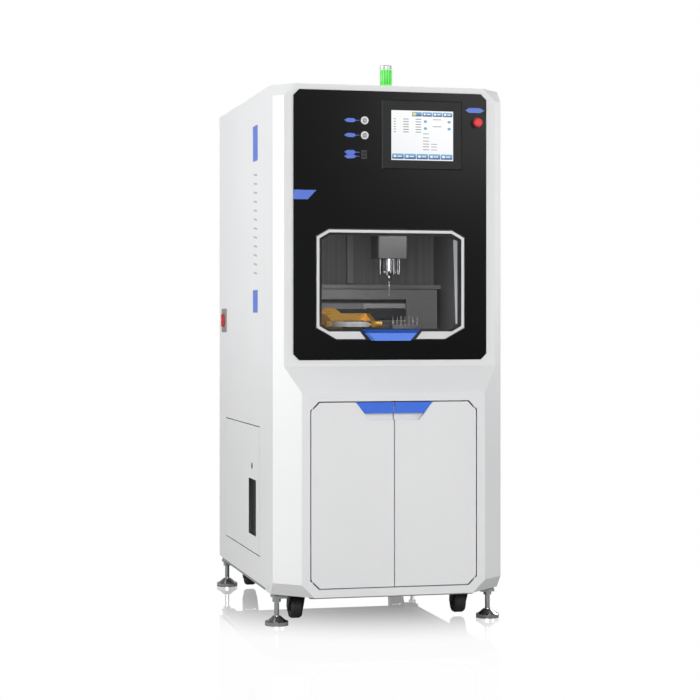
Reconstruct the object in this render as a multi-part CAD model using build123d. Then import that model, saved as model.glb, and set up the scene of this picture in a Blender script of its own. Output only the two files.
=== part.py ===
from build123d import *
import math
import os

os.makedirs("parts", exist_ok=True)

# Dental milling machine: a free-standing cabinet with a milling chamber behind a lift-up window,
# a service cabinet below, and a five-axis mechanism. Millimetres.
# Origin on the floor under the middle of the machine, +X to the viewer's right, +Y to the back, +Z up.

# Cabinet body
HALF_W = 382.0
Y_FACE_UP = -514.5
CHIN_STEP = 48.0
Y_FACE_LOW = Y_FACE_UP - CHIN_STEP
Y_SEAM = -357.5
Y_BACK = 545.5
Z_TOP = 1744.5
Z_CAP_BOTTOM = 104.0
Z_SIDE_BOTTOM = 112.5
Z_CHIN_LOW = 755.7
Z_CHIN_HIGH = 839.0
FACET = 30.0
CORNER_TOP = 39.5
CORNER_BOTTOM = 41.5
CAP_WALL = 3.0
SHEET = 2.0
SEAM_GAP = 1.0
RUN_GAP = 3.5

# Black front panel
PANEL_HALF_W = HALF_W - FACET - 30.0
PANEL_Z0 = 859.0
PANEL_Z1 = 1726.0
PANEL_CHAMFER = 19.0
PANEL_T = 4.0
PANEL_LIP = 14.0

# Window
WIN_HALF_W = 246.0
WIN_TOP_HALF = 206.0
WIN_BOT_HALF = 181.0
WIN_Z_TOP = 1278.0
WIN_Z_SHOULDER = 1255.0
WIN_Z_HIP = 963.0
WIN_Z_BOT = 926.5
WIN_BAR_Z = 950.6
WIN_DEPTH = 14.0
TRIM_W = 9.0
TRIM_T = 2.0
GLASS_T = 4.0
BAR_TOP_HALF = 104.5
BAR_LOW_HALF = 83.7
GRIP_BACK_TOP = 98.0
GRIP_BACK_Z = 957.2
GRIP_FRONT_TOP = 79.0
GRIP_FRONT_Z = 945.0
GRIP_FRONT_LOW = 57.6
GRIP_Z_LOW = 921.0
GRIP_OUT = 23.0

# Lower doors
DOOR_HALF_W = 273.0
DOOR_Z0 = 133.0
DOOR_Z1 = 724.4
DOOR_CHAMFER = 28.0
DOOR_T = 22.0
DOOR_RIM = 12.0
DOOR_SKIN = 2.5
PULL_TOP_HALF = 128.0
PULL_BOT_HALF = 97.6
PULL_DROP = 35.9
RECESS_BOT_HALF = 84.0
RECESS_DROP = 57.1
RECESS_DEPTH = 18.0
PULL_T = 3.0
HINGE_IN = 4.0
HINGE_BACK = 3.0
PIN_R = 1.9
PIN_FIT = 0.06
PIN_DEEP = 18.0
PIN_HINGE_R = 1.2
HINGE_KNUCKLE = 2.7
KNUCKLES = 9
HINGE_Z = WIN_Z_TOP + 3.1
KNUCKLE_GAP = 0.4

# Service cover on the left side
COVER_Y0 = -259.5
COVER_Y1 = 406.5
COVER_Z0 = 205.0
COVER_Z1 = 631.0
COVER_T = 18.0
COVER_BACK = 6.0
SLOT_Y0 = -189.5
SLOT_Y1 = -55.5
SLOT_Z0 = 261.0
SLOT_Z1 = 450.0
SLOT_DEPTH = 15.0
LATCH_Y = -116.5
LATCH_Z = 494.5
LATCH_R = 11.0

# Frame
TUBE = 40.0
FRAME_HALF_W = HALF_W - 10.0
FRAME_Y0 = Y_SEAM
BASE_Y0 = -444.0
FRAME_Y1 = 538.0
BASE_Z0 = 97.0
BED_Z1 = 880.0
BED_T = 40.0
DECK_Z = BED_Z1 - BED_T - TUBE

# Feet and casters
FOOT_X = FRAME_HALF_W - 15.0
FOOT_Y_FRONT = -419.5
FOOT_Y_BACK = 524.5
FOOT_PAD_R = 38.0
FOOT_RIM_H = 14.0
FOOT_CONE_H = 16.0
STUD_R = 8.0
FOOT_PLATE = 8.0
CASTER_X = FRAME_HALF_W - 93.0
CASTER_Y_FRONT = -353.5
CASTER_Y_BACK = 463.5
WHEEL_R = 37.5
WHEEL_W = 40.0
WHEEL_LIFT = 8.0
CASTER_TRAIL = 18.0

# Chamber and mechanism
CH_HALF_W = FRAME_HALF_W - TUBE - 32.0
CH_Y0 = -494.0
CH_Y1 = 30.0
CH_Z0 = 925.0
CH_Z1 = 1310.0
CH_WALL = 2.0
HOPPER_DROP = 60.0
DUCT_R = 32.0
DUCT_WALL = 2.0

SPINDLE_X = 66.0
SPINDLE_Y = -240.0
HOUSING_W = 102.0
HOUSING_Z = 1195.0
SPINDLE_R = 27.0
SPINDLE_Z = 1138.0
TOOL_TIP_Z = 1072.0
RAIL_W = 20.0
RAIL_H = 18.0
HEAD_Z = 1340.0
HEAD_H = 140.0
BRIDGE_Y = 60.0

GUARD_Y = -100.0
GUARD_Z0 = 1060.0
GUARD_Z1 = 1094.0
GUARD_LEG_X = 164.0
GUARD_END_X = 275.0
PLATE_END_X = GUARD_LEG_X - 2.0
PLATE_Z1 = 1046.0
ARM_SLOT_X0 = 22.0
ARM_SLOT_X1 = 160.5
LEDGE_BACK = 40.0
LEDGE_T = 2.0
LEDGE_Z0 = 1097.0
LEDGE_Z1 = 1111.0
ROTARY_Z = 972.5
TILT_X = -129.0
FLANGE_R = 49.0
CLAMP_X = -77.0
CLAMP_Y = -274.0
CLAMP_R = 63.5
CLAMP_H = 15.0
DISC_R = 49.0
RACK_X0 = 73.0
RACK_X1 = 171.0
RACK_Z = 971.0
BURS = 7
BUR_PITCH = 14.0



# Operator controls on the black panel
HMI_X0 = -31.0
HMI_X1 = 238.5
HMI_Z0 = 1476.0
HMI_Z1 = 1699.0
SCREEN_X0 = 0.0
SCREEN_X1 = 208.0
SCREEN_Z0 = 1505.0
SCREEN_Z1 = 1666.0
BUTTON_X = -88.0
BUTTON_Z = (1630.4, 1582.4)
BUTTON_R = 9.5
BUTTON_HEAD_R = 12.5
BUTTON_TRAVEL = 3.0
ESTOP_X = HALF_W - 93.0
ESTOP_Z = 1631.5
ESTOP_R = 14.8
ESTOP_NECK = 11.0
ESTOP_TRAVEL = 5.0
USB_X = -90.0
USB_Z = 1520.5
USB_W = 18.0
USB_H = 28.0
BUTTON_HOLES = [(BUTTON_X, z, BUTTON_R) for z in BUTTON_Z] + [(ESTOP_X, ESTOP_Z, ESTOP_NECK)]

FEET = [(s * FOOT_X, y) for y in (FOOT_Y_FRONT, FOOT_Y_BACK) for s in (-1, 1)]
CASTERS = [(s * CASTER_X, y) for y in (CASTER_Y_FRONT, CASTER_Y_BACK) for s in (-1, 1)]

# Left side isolator and the rear
ISO_Y = 433.5
ISO_Z = 988.0
ISO_PLATE_Y = 50.0
ISO_PLATE_Z = 86.0
FAN_X = -140.0
FAN_Z = Z_TOP - 244.5
FAN_R = 58.0
VENT_ROWS = 8
VENT_PITCH = 22.0
VENT_Z0 = 330.0
AIR_X = 150.0
AIR_R = 8.0
MAINS_X = 230.0
INLET_Z = 230.0
BED_HALF_W = FRAME_HALF_W - 47.0
BED_MOUTH = 120.0
RAIL_X = 170.0
RAIL_Y0 = 60.0
RAIL_Y1 = 420.0
RAIL_BASE_H = 40.0
BED_Y0 = -120.0
BED_Y1 = 480.0

DUCT_Y = -232.0
ARM_X0 = 40.0
ARM_X1 = 140.0
ARM_Z0 = 994.0
ARM_Z1 = 1026.0

# Signal tower
TOWER_BACK = 59.0
TOWER_R = 21.0
TOWER_BASE_H = 6.0
TOWER_LENS_H = 53.5
TOWER_LID_H = 13.0
Z_TOWER = Z_TOP + TOWER_BASE_H + TOWER_LENS_H + TOWER_LID_H


# Service bay
LINER_HALF_W = FRAME_HALF_W - TUBE - 32.0
LINER_Y0 = -536.0
LINER_Y1 = -272.0
LINER_Z0 = 137.0
LINER_Z1 = 745.0
SHELF_Z = 440.0
COLLECT_X = -150.0
COLLECT_Y = 60.0
COLLECT_R = 140.0
COLLECT_H = 360.0
CTRL_W = 210.0
CTRL_X1 = FRAME_HALF_W - 52.0
CTRL_X0 = CTRL_X1 - CTRL_W
CTRL_Y0 = 60.0
CTRL_Y1 = 440.0
CTRL_Z0 = 280.0
CTRL_Z1 = 700.0
AIR_THREAD_R = 5.72
SCREW_R = 8.0
SCREW_Y_X = -190.0
SCREW_Y_Z = 962.0
ARM_FRONT = -170.0
TILT_Z = 981.5


def block(x0, x1, y0, y1, z0, z1):
    """A box between two corners, given in either order."""
    centre = Pos((x0 + x1) / 2, (y0 + y1) / 2, (z0 + z1) / 2)
    return centre * Box(abs(x1 - x0), abs(y1 - y0), abs(z1 - z0))


def rod(start, direction, radius, length):
    """A round bar from a start point along a direction."""
    return extrude(Plane(origin=start, z_dir=direction) * Circle(radius), length)


def tube(start, direction, outer, inner, length):
    """A round tube from a start point along a direction."""
    return rod(start, direction, outer, length) - rod(start, direction, inner, length)


def front_plate(points, y_front, thickness):
    """A flat plate drawn in X and Z as seen from the front, its face at y_front."""
    outline = Plane(origin=(0, y_front, 0), x_dir=(1, 0, 0), z_dir=(0, -1, 0))
    return extrude(outline * Polygon(*points, align=None), thickness, dir=(0, 1, 0))


def side_plate(points, x_low, thickness):
    """A flat plate drawn in Y and Z, from x_low towards +X."""
    outline = Plane(origin=(x_low, 0, 0), x_dir=(0, 1, 0), z_dir=(1, 0, 0))
    return extrude(outline * Polygon(*points, align=None), thickness, dir=(1, 0, 0))


def plan_plate(points, z_low, height):
    """A plate drawn in X and Y as seen from above."""
    return extrude(Plane.XY.offset(z_low) * Polygon(*points, align=None), height, dir=(0, 0, 1))


def save(node, solids):
    """Write one sub-part: a single solid, or a group of separate solids."""
    flat = []
    for item in solids if isinstance(solids, (list, tuple)) else [solids]:
        flat.extend(item.solids())
    whole = flat[0] if len(flat) == 1 else Compound(children=flat)
    whole.label = node
    export_step(whole, f"parts/{node}.step")


def cap_profile(inset, back):
    """The front cap seen from the side: open below, a slope from the upper face to the lower one."""
    low = Y_FACE_LOW + inset
    up = Y_FACE_UP + inset
    run = Z_CHIN_HIGH - Z_CHIN_LOW
    shift = inset * math.tan(math.atan(CHIN_STEP / run) / 2)
    bottom = Z_CAP_BOTTOM - inset
    return [
        (low, bottom),
        (low, Z_CHIN_LOW - shift),
        (up, Z_CHIN_HIGH - shift),
        (up, Z_TOP - inset),
        (back, Z_TOP - inset),
        (back, bottom),
    ]


def cap_solid(inset, back):
    """The front cap's outer form, every face moved in by the inset, running back to the seam."""
    points = cap_profile(inset, back)
    half = HALF_W - inset
    body = side_plate(points, -half, 2 * half)
    turn = inset * (math.sqrt(2) - 1)
    facet_back = Y_FACE_UP + FACET + turn
    reach = Y_FACE_LOW - 5
    plan = [
        (half, back),
        (half, facet_back),
        (half + reach - facet_back, reach),
        (-half - reach + facet_back, reach),
        (-half, facet_back),
        (-half, back),
    ]
    body = body & plan_plate(plan, Z_CAP_BOTTOM - 5, Z_TOP - Z_CAP_BOTTOM + 10)
    slant = 1 / math.sqrt(3)
    for side in (-1, 1):
        top = Vector(side * (HALF_W - FACET), Y_FACE_UP, Z_TOP - CORNER_TOP)
        low_x = HALF_W - FACET - CHIN_STEP
        low = Vector(side * low_x, Y_FACE_LOW, Z_CAP_BOTTOM + CORNER_BOTTOM)
        for corner, rise in ((top, 1), (low, -1)):
            normal = Vector(side * slant, -slant, rise * slant)
            cut = Plane(origin=corner - normal * inset, z_dir=normal)
            body = split(body, bisect_by=cut, keep=Keep.BOTTOM)
    return body


WINDOW = [
    (-WIN_TOP_HALF, WIN_Z_TOP),
    (WIN_TOP_HALF, WIN_Z_TOP),
    (WIN_HALF_W, WIN_Z_SHOULDER),
    (WIN_HALF_W, WIN_Z_HIP),
    (WIN_BOT_HALF, WIN_Z_BOT),
    (-WIN_BOT_HALF, WIN_Z_BOT),
    (-WIN_HALF_W, WIN_Z_HIP),
    (-WIN_HALF_W, WIN_Z_SHOULDER),
]


def window_form(grow, y_front, depth):
    """The eight-sided window outline, grown or shrunk evenly, as a plate."""
    face = Plane(origin=(0, y_front, 0), x_dir=(1, 0, 0), z_dir=(0, -1, 0))
    outline = Polygon(*WINDOW, align=None)
    if grow:
        outline = offset(outline, grow, kind=Kind.INTERSECTION)
    return extrude(face * outline, depth, dir=(0, 1, 0))


def chamfered(half, z0, z1, corner):
    """A wide rectangle with its four corners cut at 45 degrees."""
    return [
        (-half + corner, z0),
        (half - corner, z0),
        (half, z0 + corner),
        (half, z1 - corner),
        (half - corner, z1),
        (-half + corner, z1),
        (-half, z1 - corner),
        (-half, z0 + corner),
    ]


def make_front_fascia():
    """White sheet cap with the openings for the black panel and the two doors."""
    shell = cap_solid(0, Y_SEAM) - cap_solid(CAP_WALL, Y_SEAM + 5)
    lip = PANEL_LIP
    inner = chamfered(PANEL_HALF_W - lip, PANEL_Z0 + lip, PANEL_Z1 - lip, PANEL_CHAMFER)
    shell -= front_plate(inner, Y_FACE_UP - 5, CAP_WALL + 10)
    gap = RUN_GAP
    doorway = chamfered(DOOR_HALF_W + gap, DOOR_Z0 - gap, DOOR_Z1 + gap, DOOR_CHAMFER)
    shell -= front_plate(doorway, Y_FACE_LOW - 5, CAP_WALL + 10)
    for side in (-1, 1):
        slot = block(-CAP_WALL, CAP_WALL, -403.5, -395.5, 108, 126)
        shell -= Pos(side * (HALF_W - CAP_WALL / 2), 0, 0) * slot
    for side in (-1, 1):
        flange = block(FRAME_HALF_W - 8, HALF_W - 1, Y_SEAM - SHEET, Y_SEAM, BASE_Z0 + TUBE + 2, Z_TOP - 60)
        shell += flange if side > 0 else mirror(flange, about=Plane.YZ)
    brackets = []
    axis_x = DOOR_HALF_W - HINGE_IN
    axis_y = Y_FACE_LOW + HINGE_BACK
    for side in (-1, 1):
        for z_end, up in ((DOOR_Z0 + DOOR_CHAMFER - HINGE_IN, -1), (DOOR_Z1 - DOOR_CHAMFER + HINGE_IN, 1)):
            pivot = (side * axis_x, axis_y, z_end - up * PIN_DEEP)
            brackets.append(rod(pivot, (0, 0, up), PIN_R, PIN_DEEP + 14))
            low_z = z_end + up * 9
            eye = rod((side * axis_x, axis_y, low_z), (0, 0, up), 5.0, 5.0)
            arm = block(-9, 9, Y_FACE_LOW + CAP_WALL, axis_y + 6, 0, 5)
            arm = Pos(side * (axis_x + 4), 0, low_z if up > 0 else low_z - 5) * arm
            eye = eye & block(-400, 400, Y_FACE_LOW + CAP_WALL, 0, 0, 900)
            brackets[-1] = brackets[-1] + eye + arm
    for piece in brackets:
        shell += piece
    save("front_fascia", shell)


def make_front_panel():
    """Glossy black panel on the cap's upper face, cut for the window, screen, buttons and port."""
    outline = chamfered(PANEL_HALF_W, PANEL_Z0, PANEL_Z1, PANEL_CHAMFER)
    front = Y_FACE_UP - PANEL_T
    plate = front_plate(outline, front, PANEL_T)
    plate -= window_form(RUN_GAP, front - 1, PANEL_T + 2)
    half = WIN_TOP_HALF - 5
    plate -= block(-half, half, front - 1, 0, WIN_Z_TOP, HINGE_Z + HINGE_KNUCKLE + 0.4)
    plate -= block(HMI_X0 + 6, HMI_X1 - 6, front - 1, Y_FACE_UP + 1, HMI_Z0 + 6, HMI_Z1 - 6)
    for x, z, radius in BUTTON_HOLES:
        plate -= rod((x, front - 1, z), (0, 1, 0), radius, PANEL_T + 2)
    half_w, half_h = USB_W / 2 - 2, USB_H / 2 - 2
    plate -= block(USB_X - half_w, USB_X + half_w, front - 1, 0, USB_Z - half_h, USB_Z + half_h)
    save("front_panel", plate)


def make_side_panels():
    """Folded side sheets; the left one has the service opening and the isolator hole."""
    for side, node in ((-1, "side_panel_left"), (1, "side_panel_right")):
        x_in = HALF_W - SHEET
        sheet = block(x_in, HALF_W, Y_SEAM + SEAM_GAP, Y_BACK, Z_SIDE_BOTTOM, Z_TOP)
        fold = 7.5
        for y in (Y_SEAM + SEAM_GAP, Y_BACK - SHEET):
            sheet += block(x_in - fold, x_in, y, y + SHEET, Z_SIDE_BOTTOM, Z_TOP - SHEET)
        sheet = sheet if side > 0 else mirror(sheet, about=Plane.YZ)
        if side < 0:
            gap = RUN_GAP
            hole = block(-HALF_W - 5, -x_in + 5, COVER_Y0 - gap, COVER_Y1 + gap, COVER_Z0 - gap,
                         COVER_Z1 + gap)
            sheet -= hole
            sheet -= rod((-HALF_W - 5, ISO_Y, ISO_Z), (1, 0, 0), 16.0, 10)
        save(node, sheet)


def make_rear_panel():
    """Rear sheet with louvred slots, the fan opening and the holes for the supply inlets."""
    x_in = HALF_W - SHEET - SEAM_GAP
    sheet = block(-x_in + 12, x_in - 12, Y_BACK - SHEET, Y_BACK, Z_SIDE_BOTTOM, Z_TOP - SHEET)
    sheet -= rod((FAN_X, Y_BACK - 10, FAN_Z), (0, 1, 0), FAN_R + 3, 20)
    for row in range(VENT_ROWS):
        z = VENT_Z0 + row * VENT_PITCH
        for x0 in (-220.0, 60.0):
            sheet -= block(x0, x0 + 160, Y_BACK - 10, Y_BACK + 10, z, z + 5)
            hood = block(x0 - 2, x0 + 162, Y_BACK - 1, Y_BACK + 5, z + 4, z + 10)
            hood -= rod((x0 - 1, Y_BACK, z + 3), (1, 0, 0), 5.0, 162)
            sheet += hood & block(x0 - 2, x0 + 162, Y_BACK - 1, Y_BACK + 4, z + 4, z + 9)
    sheet -= rod((AIR_X, Y_BACK - 10, INLET_Z), (0, 1, 0), AIR_R + 0.5, 20)
    sheet -= block(MAINS_X - 14, MAINS_X + 14, Y_BACK - 10, Y_BACK + 10, INLET_Z - 24, INLET_Z + 24)
    save("rear_panel", sheet)


def make_top_panel():
    """Top sheet behind the front cap."""
    x_in = HALF_W - SHEET - SEAM_GAP
    sheet = block(-x_in, x_in, Y_SEAM + SEAM_GAP, Y_BACK, Z_TOP - SHEET, Z_TOP)
    save("top_panel", sheet)


def make_base_frame():
    """Welded square-tube base with the foot plates and the caster plates."""
    z1 = BASE_Z0 + TUBE
    x_out, x_in = FRAME_HALF_W, FRAME_HALF_W - TUBE
    frame = block(x_in, x_out, BASE_Y0, FRAME_Y1, BASE_Z0, z1)
    frame += mirror(frame, about=Plane.YZ)
    members = [(BASE_Y0, x_in), (CASTER_Y_FRONT - TUBE / 2, x_in), (40, x_in), (CASTER_Y_BACK - TUBE / 2, x_in),
               (FRAME_Y1 - TUBE, x_in)]
    for y, reach in members:
        frame += block(-reach, reach, y, y + TUBE, BASE_Z0, z1)
    nose = Y_FACE_LOW + DOOR_T + 4
    frame += block(-270, 270, nose, nose + TUBE, BASE_Z0, z1)
    for side in (-1, 1):
        frame += Pos(side * 250, 0, 0) * block(-TUBE / 2, TUBE / 2, nose, BASE_Y0, BASE_Z0, z1)
    bore = TUBE - 6
    hollow = block(-FRAME_HALF_W - 9, FRAME_HALF_W + 9, FRAME_Y1 - TUBE + 3, FRAME_Y1 - 3, BASE_Z0 + 3,
                   z1 - 3)
    frame -= hollow & block(-x_in + 1, x_in - 1, 0, 900, 0, z1 - bore / 2 + 14)
    for x, y in FEET:
        side = 1 if x > 0 else -1
        frame += block(x - side * 30, side * FRAME_HALF_W, y - 30, y + 30, BASE_Z0 - FOOT_PLATE, BASE_Z0)
        frame -= rod((x, y, 0), (0, 0, 1), STUD_R + 0.3, z1 + 10)
    for x, y in CASTERS:
        frame += block(x - 42, x + 42, y - 42, y + 42, BASE_Z0 - 5, BASE_Z0)
        frame += rod((x, y, BASE_Z0 - 13.8), (0, 0, 1), 6.0, 9)
        frame += rod((x, y, BASE_Z0 - 13.8), (0, 0, 1), 9.0, 1.6)
    save("base_frame", frame)


def make_upper_frame():
    """Four uprights, the deck ring under the milling bed and the top ring."""
    x_out, x_in = FRAME_HALF_W, FRAME_HALF_W - TUBE
    z_top = Z_TOP - SHEET
    z0 = BASE_Z0 + TUBE
    frame = block(x_in, x_out, FRAME_Y0, FRAME_Y0 + TUBE, z0, z_top)
    frame += block(x_in, x_out, FRAME_Y1 - TUBE, FRAME_Y1, z0, z_top)
    for z in (DECK_Z, z_top - TUBE):
        frame += block(x_in, x_out, FRAME_Y0 + TUBE, FRAME_Y1 - TUBE, z, z + TUBE)
    frame += mirror(frame, about=Plane.YZ)
    for z in (DECK_Z, z_top - TUBE):
        frame += block(-x_in, x_in, FRAME_Y1 - TUBE, FRAME_Y1, z, z + TUBE)
    frame += block(-x_in, x_in, FRAME_Y0, FRAME_Y0 + TUBE, z_top - TUBE, z_top)
    frame += block(-x_in, x_in, BED_Y0, BED_Y0 + TUBE, DECK_Z, DECK_Z + TUBE)
    frame += block(-x_in, x_in, FRAME_Y0, FRAME_Y0 + 30, DECK_Z, DECK_Z + TUBE)
    save("upper_frame", frame)


def make_levelling_feet():
    """Four chrome levelling feet: dished pad, M16 stud and lock nut."""
    parts = []
    for x, y in FEET:
        pad = Cylinder(FOOT_PAD_R, FOOT_RIM_H, align=(Align.CENTER, Align.CENTER, Align.MIN))
        pad = chamfer(pad.edges().sort_by(Axis.Z)[-1:], 2.0)
        cone = Cone(FOOT_PAD_R - 6, STUD_R + 5, FOOT_CONE_H, align=(Align.CENTER, Align.CENTER, Align.MIN))
        pad = pad + Pos(0, 0, FOOT_RIM_H) * cone
        base = FOOT_RIM_H + FOOT_CONE_H
        parts.append(Pos(x, y, 0) * pad)
        parts.append(rod((x, y, base), (0, 0, 1), STUD_R, BASE_Z0 + TUBE - 4 - base))
        under = BASE_Z0 - FOOT_PLATE
        nut = extrude(Plane.XY.offset(under - 13) * RegularPolygon(12, 6, major_radius=False), 13)
        nut -= rod((0, 0, under - 14), (0, 0, 1), STUD_R, 15)
        parts.append(Pos(x, y, 0) * nut)
    save("levelling_feet", parts)


def make_casters():
    """Four swivel casters: a pressed fork on a kingpin and a wheel on its axle."""
    zc = WHEEL_LIFT + WHEEL_R
    crown_z = BASE_Z0 - 11.5
    names = ("front_left", "front_right", "rear_left", "rear_right")
    for name, (x, y) in zip(names, CASTERS):
        side_x = WHEEL_W / 2 + 2
        cheek = [(-24, crown_z), (26, crown_z), (CASTER_TRAIL + 13, zc), (CASTER_TRAIL, zc - 14),
                 (CASTER_TRAIL - 13, zc)]
        fork = side_plate([(p, q) for p, q in cheek], side_x, 4.0)
        fork += mirror(fork, about=Plane.YZ)
        crown = block(-side_x - 4, side_x + 4, -24, 26, crown_z, crown_z + 5)
        crown -= rod((0, 0, crown_z - 1), (0, 0, 1), 6.06, 8)
        crown -= rod((0, 0, crown_z - 1), (0, 0, 1), 9.4, 1.4)
        fork += crown
        fork += rod((-side_x, CASTER_TRAIL, zc), (1, 0, 0), 5.0, 2 * side_x)
        fork = Pos(x, y, 0) * fork
        save(f"caster_fork_{name}", fork)
        half = WHEEL_W / 2
        profile = Plane.XY * Polygon((5.06, -half), (14, -half), (14, -half + 4), (30, -half + 4), (31, -half + 1),
                                     (WHEEL_R - 4, -half + 1), (WHEEL_R, -half + 8), (WHEEL_R, half - 8),
                                     (WHEEL_R - 4, half - 1), (31, half - 1), (30, half - 4), (14, half - 4),
                                     (14, half), (5.06, half), align=None)
        wheel = revolve(profile, Axis.Y)
        wheel = Rot(0, 0, -90) * wheel
        save(f"caster_wheel_{name}", Pos(x, y + CASTER_TRAIL, zc) * wheel)


def make_doors():
    """Two folded-pan doors on pivot pins, each with half of the finger recess and a blue pull."""
    outline = chamfered(DOOR_HALF_W, DOOR_Z0, DOOR_Z1, DOOR_CHAMFER)
    both = front_plate(outline, Y_FACE_LOW, DOOR_T)
    rim = DOOR_RIM
    inner = chamfered(DOOR_HALF_W - rim, DOOR_Z0 + rim, DOOR_Z1 - rim, DOOR_CHAMFER - 5)
    both -= front_plate(inner, Y_FACE_LOW + DOOR_SKIN, DOOR_T)
    middle = block(-RUN_GAP / 2 - rim, RUN_GAP / 2 + rim, Y_FACE_LOW, Y_FACE_LOW + DOOR_T, DOOR_Z0, DOOR_Z1)
    both += middle
    slope = (PULL_TOP_HALF - PULL_BOT_HALF) / PULL_DROP
    cup_top, cup_low = DOOR_Z1 - 12, DOOR_Z1 - RECESS_DROP
    half_at = PULL_TOP_HALF - slope * 12

    def trapezoid(extra):
        return [(-RECESS_BOT_HALF - extra, cup_low - extra), (RECESS_BOT_HALF + extra, cup_low - extra),
                (half_at + extra, cup_top + extra), (-half_at - extra, cup_top + extra)]

    both += front_plate(trapezoid(6), Y_FACE_LOW + DOOR_SKIN, DOOR_T - DOOR_SKIN)
    both -= front_plate(trapezoid(0), Y_FACE_LOW - 1, RECESS_DEPTH + 1)
    pull = [(-PULL_BOT_HALF, DOOR_Z1 - PULL_DROP), (PULL_BOT_HALF, DOOR_Z1 - PULL_DROP),
            (PULL_TOP_HALF, DOOR_Z1), (-PULL_TOP_HALF, DOOR_Z1)]
    both -= front_plate(pull, Y_FACE_LOW - 1, PULL_T + 1)
    plate = front_plate(pull, Y_FACE_LOW, PULL_T)
    lip = [(-PULL_BOT_HALF, DOOR_Z1 - PULL_DROP), (PULL_BOT_HALF, DOOR_Z1 - PULL_DROP),
           (PULL_BOT_HALF, DOOR_Z1 - PULL_DROP + 4), (-PULL_BOT_HALF, DOOR_Z1 - PULL_DROP + 4)]
    plate += front_plate(lip, Y_FACE_LOW + PULL_T, 3)
    for side, tag in ((-1, "left"), (1, "right")):
        half = block(side * RUN_GAP / 2, side * 400, -700, -500, 0, 900)
        leaf = both & half
        axis_x = side * (DOOR_HALF_W - HINGE_IN)
        axis_y = Y_FACE_LOW + HINGE_BACK
        for z0 in (DOOR_Z0, DOOR_Z1 - DOOR_CHAMFER - PIN_DEEP - 2):
            leaf -= rod((axis_x, axis_y, z0 - 2), (0, 0, 1), PIN_R + PIN_FIT, DOOR_CHAMFER + PIN_DEEP + 4)
        save(f"door_{tag}", leaf)
        save(f"door_pull_{tag}", plate & half)


def make_window():
    """Lift-up window: black frame, tinted glass, white trim and blue handle, on a continuous hinge."""
    front = Y_FACE_UP - PANEL_T
    frame = window_form(0, front + TRIM_T, WIN_DEPTH)
    bar = block(-400, 400, -600, -400, WIN_BAR_Z, 1400)
    glazed = window_form(-TRIM_W, front - 1, GLASS_T + TRIM_T + 2) & bar
    frame -= glazed
    frame -= window_form(-2 * TRIM_W, front - 1, 40) & block(-400, 400, -600, -400, WIN_BAR_Z + TRIM_W, 1400)
    axis = (0, front + HINGE_KNUCKLE, HINGE_Z)
    half = WIN_TOP_HALF - 6
    frame += hinge_knuckles(half, axis, 1, frame_side=True)
    save("window_frame", frame)
    glass = window_form(-TRIM_W - 0.3, front + 0.5, GLASS_T)
    glass &= block(-400, 400, -600, -400, WIN_BAR_Z + 0.3, 1400)
    save("window_glass", glass)
    trim = window_form(0, front, TRIM_T) - glazed
    low = WIN_Z_BOT
    gap = [(-BAR_LOW_HALF, low - 1), (BAR_LOW_HALF, low - 1), (BAR_TOP_HALF, WIN_BAR_Z + 1),
           (-BAR_TOP_HALF, WIN_BAR_Z + 1)]
    trim -= front_plate(gap, front - 1, TRIM_T + 2)
    save("window_trim", trim)
    stand = 1.0
    back_y = front - stand
    front_y = front - GRIP_OUT
    rear = Plane(origin=(0, back_y, 0), x_dir=(1, 0, 0), z_dir=(0, -1, 0))
    fore = Plane(origin=(0, front_y, 0), x_dir=(1, 0, 0), z_dir=(0, -1, 0))
    slope = (GRIP_FRONT_TOP - GRIP_FRONT_LOW) / (GRIP_FRONT_Z - GRIP_Z_LOW)
    rear_low = GRIP_BACK_TOP - slope * (GRIP_BACK_Z - GRIP_Z_LOW)
    big = rear * Polygon((-rear_low, GRIP_Z_LOW), (rear_low, GRIP_Z_LOW), (GRIP_BACK_TOP, GRIP_BACK_Z),
                         (-GRIP_BACK_TOP, GRIP_BACK_Z), align=None)
    small = fore * Polygon((-GRIP_FRONT_LOW, GRIP_Z_LOW), (GRIP_FRONT_LOW, GRIP_Z_LOW),
                           (GRIP_FRONT_TOP, GRIP_FRONT_Z), (-GRIP_FRONT_TOP, GRIP_FRONT_Z), align=None)
    handle = loft([big, small], ruled=True)
    boss = [(-60, WIN_Z_BOT + 3), (60, WIN_Z_BOT + 3), (76, WIN_BAR_Z - 3), (-76, WIN_BAR_Z - 3)]
    handle += front_plate(boss, back_y, stand + TRIM_T)
    save("window_handle", handle)


def hinge_knuckles(half, axis, first, frame_side):
    """Alternate knuckles of a continuous hinge with their leaf, for one side of it."""
    x0, y0, z0 = axis
    pitch = 2 * half / KNUCKLES
    solid = None
    for k in range(first, KNUCKLES, 2):
        start = x0 - half + k * pitch + KNUCKLE_GAP
        length = pitch - 2 * KNUCKLE_GAP
        ring = rod((start, y0, z0), (1, 0, 0), HINGE_KNUCKLE - 0.2, length)
        if frame_side:
            ring += block(start, start + length, y0, y0 + HINGE_KNUCKLE - 0.2, WIN_Z_TOP - 3, z0)
        else:
            ring += block(start, start + length, y0, Y_FACE_UP + 2.8, z0, z0 + HINGE_KNUCKLE + 0.2)
        bore = PIN_HINGE_R + PIN_FIT if frame_side else PIN_HINGE_R - 0.05
        ring -= rod((start - 1, y0, z0), (1, 0, 0), bore, length + 2)
        solid = ring if solid is None else solid + ring
    return solid


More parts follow.
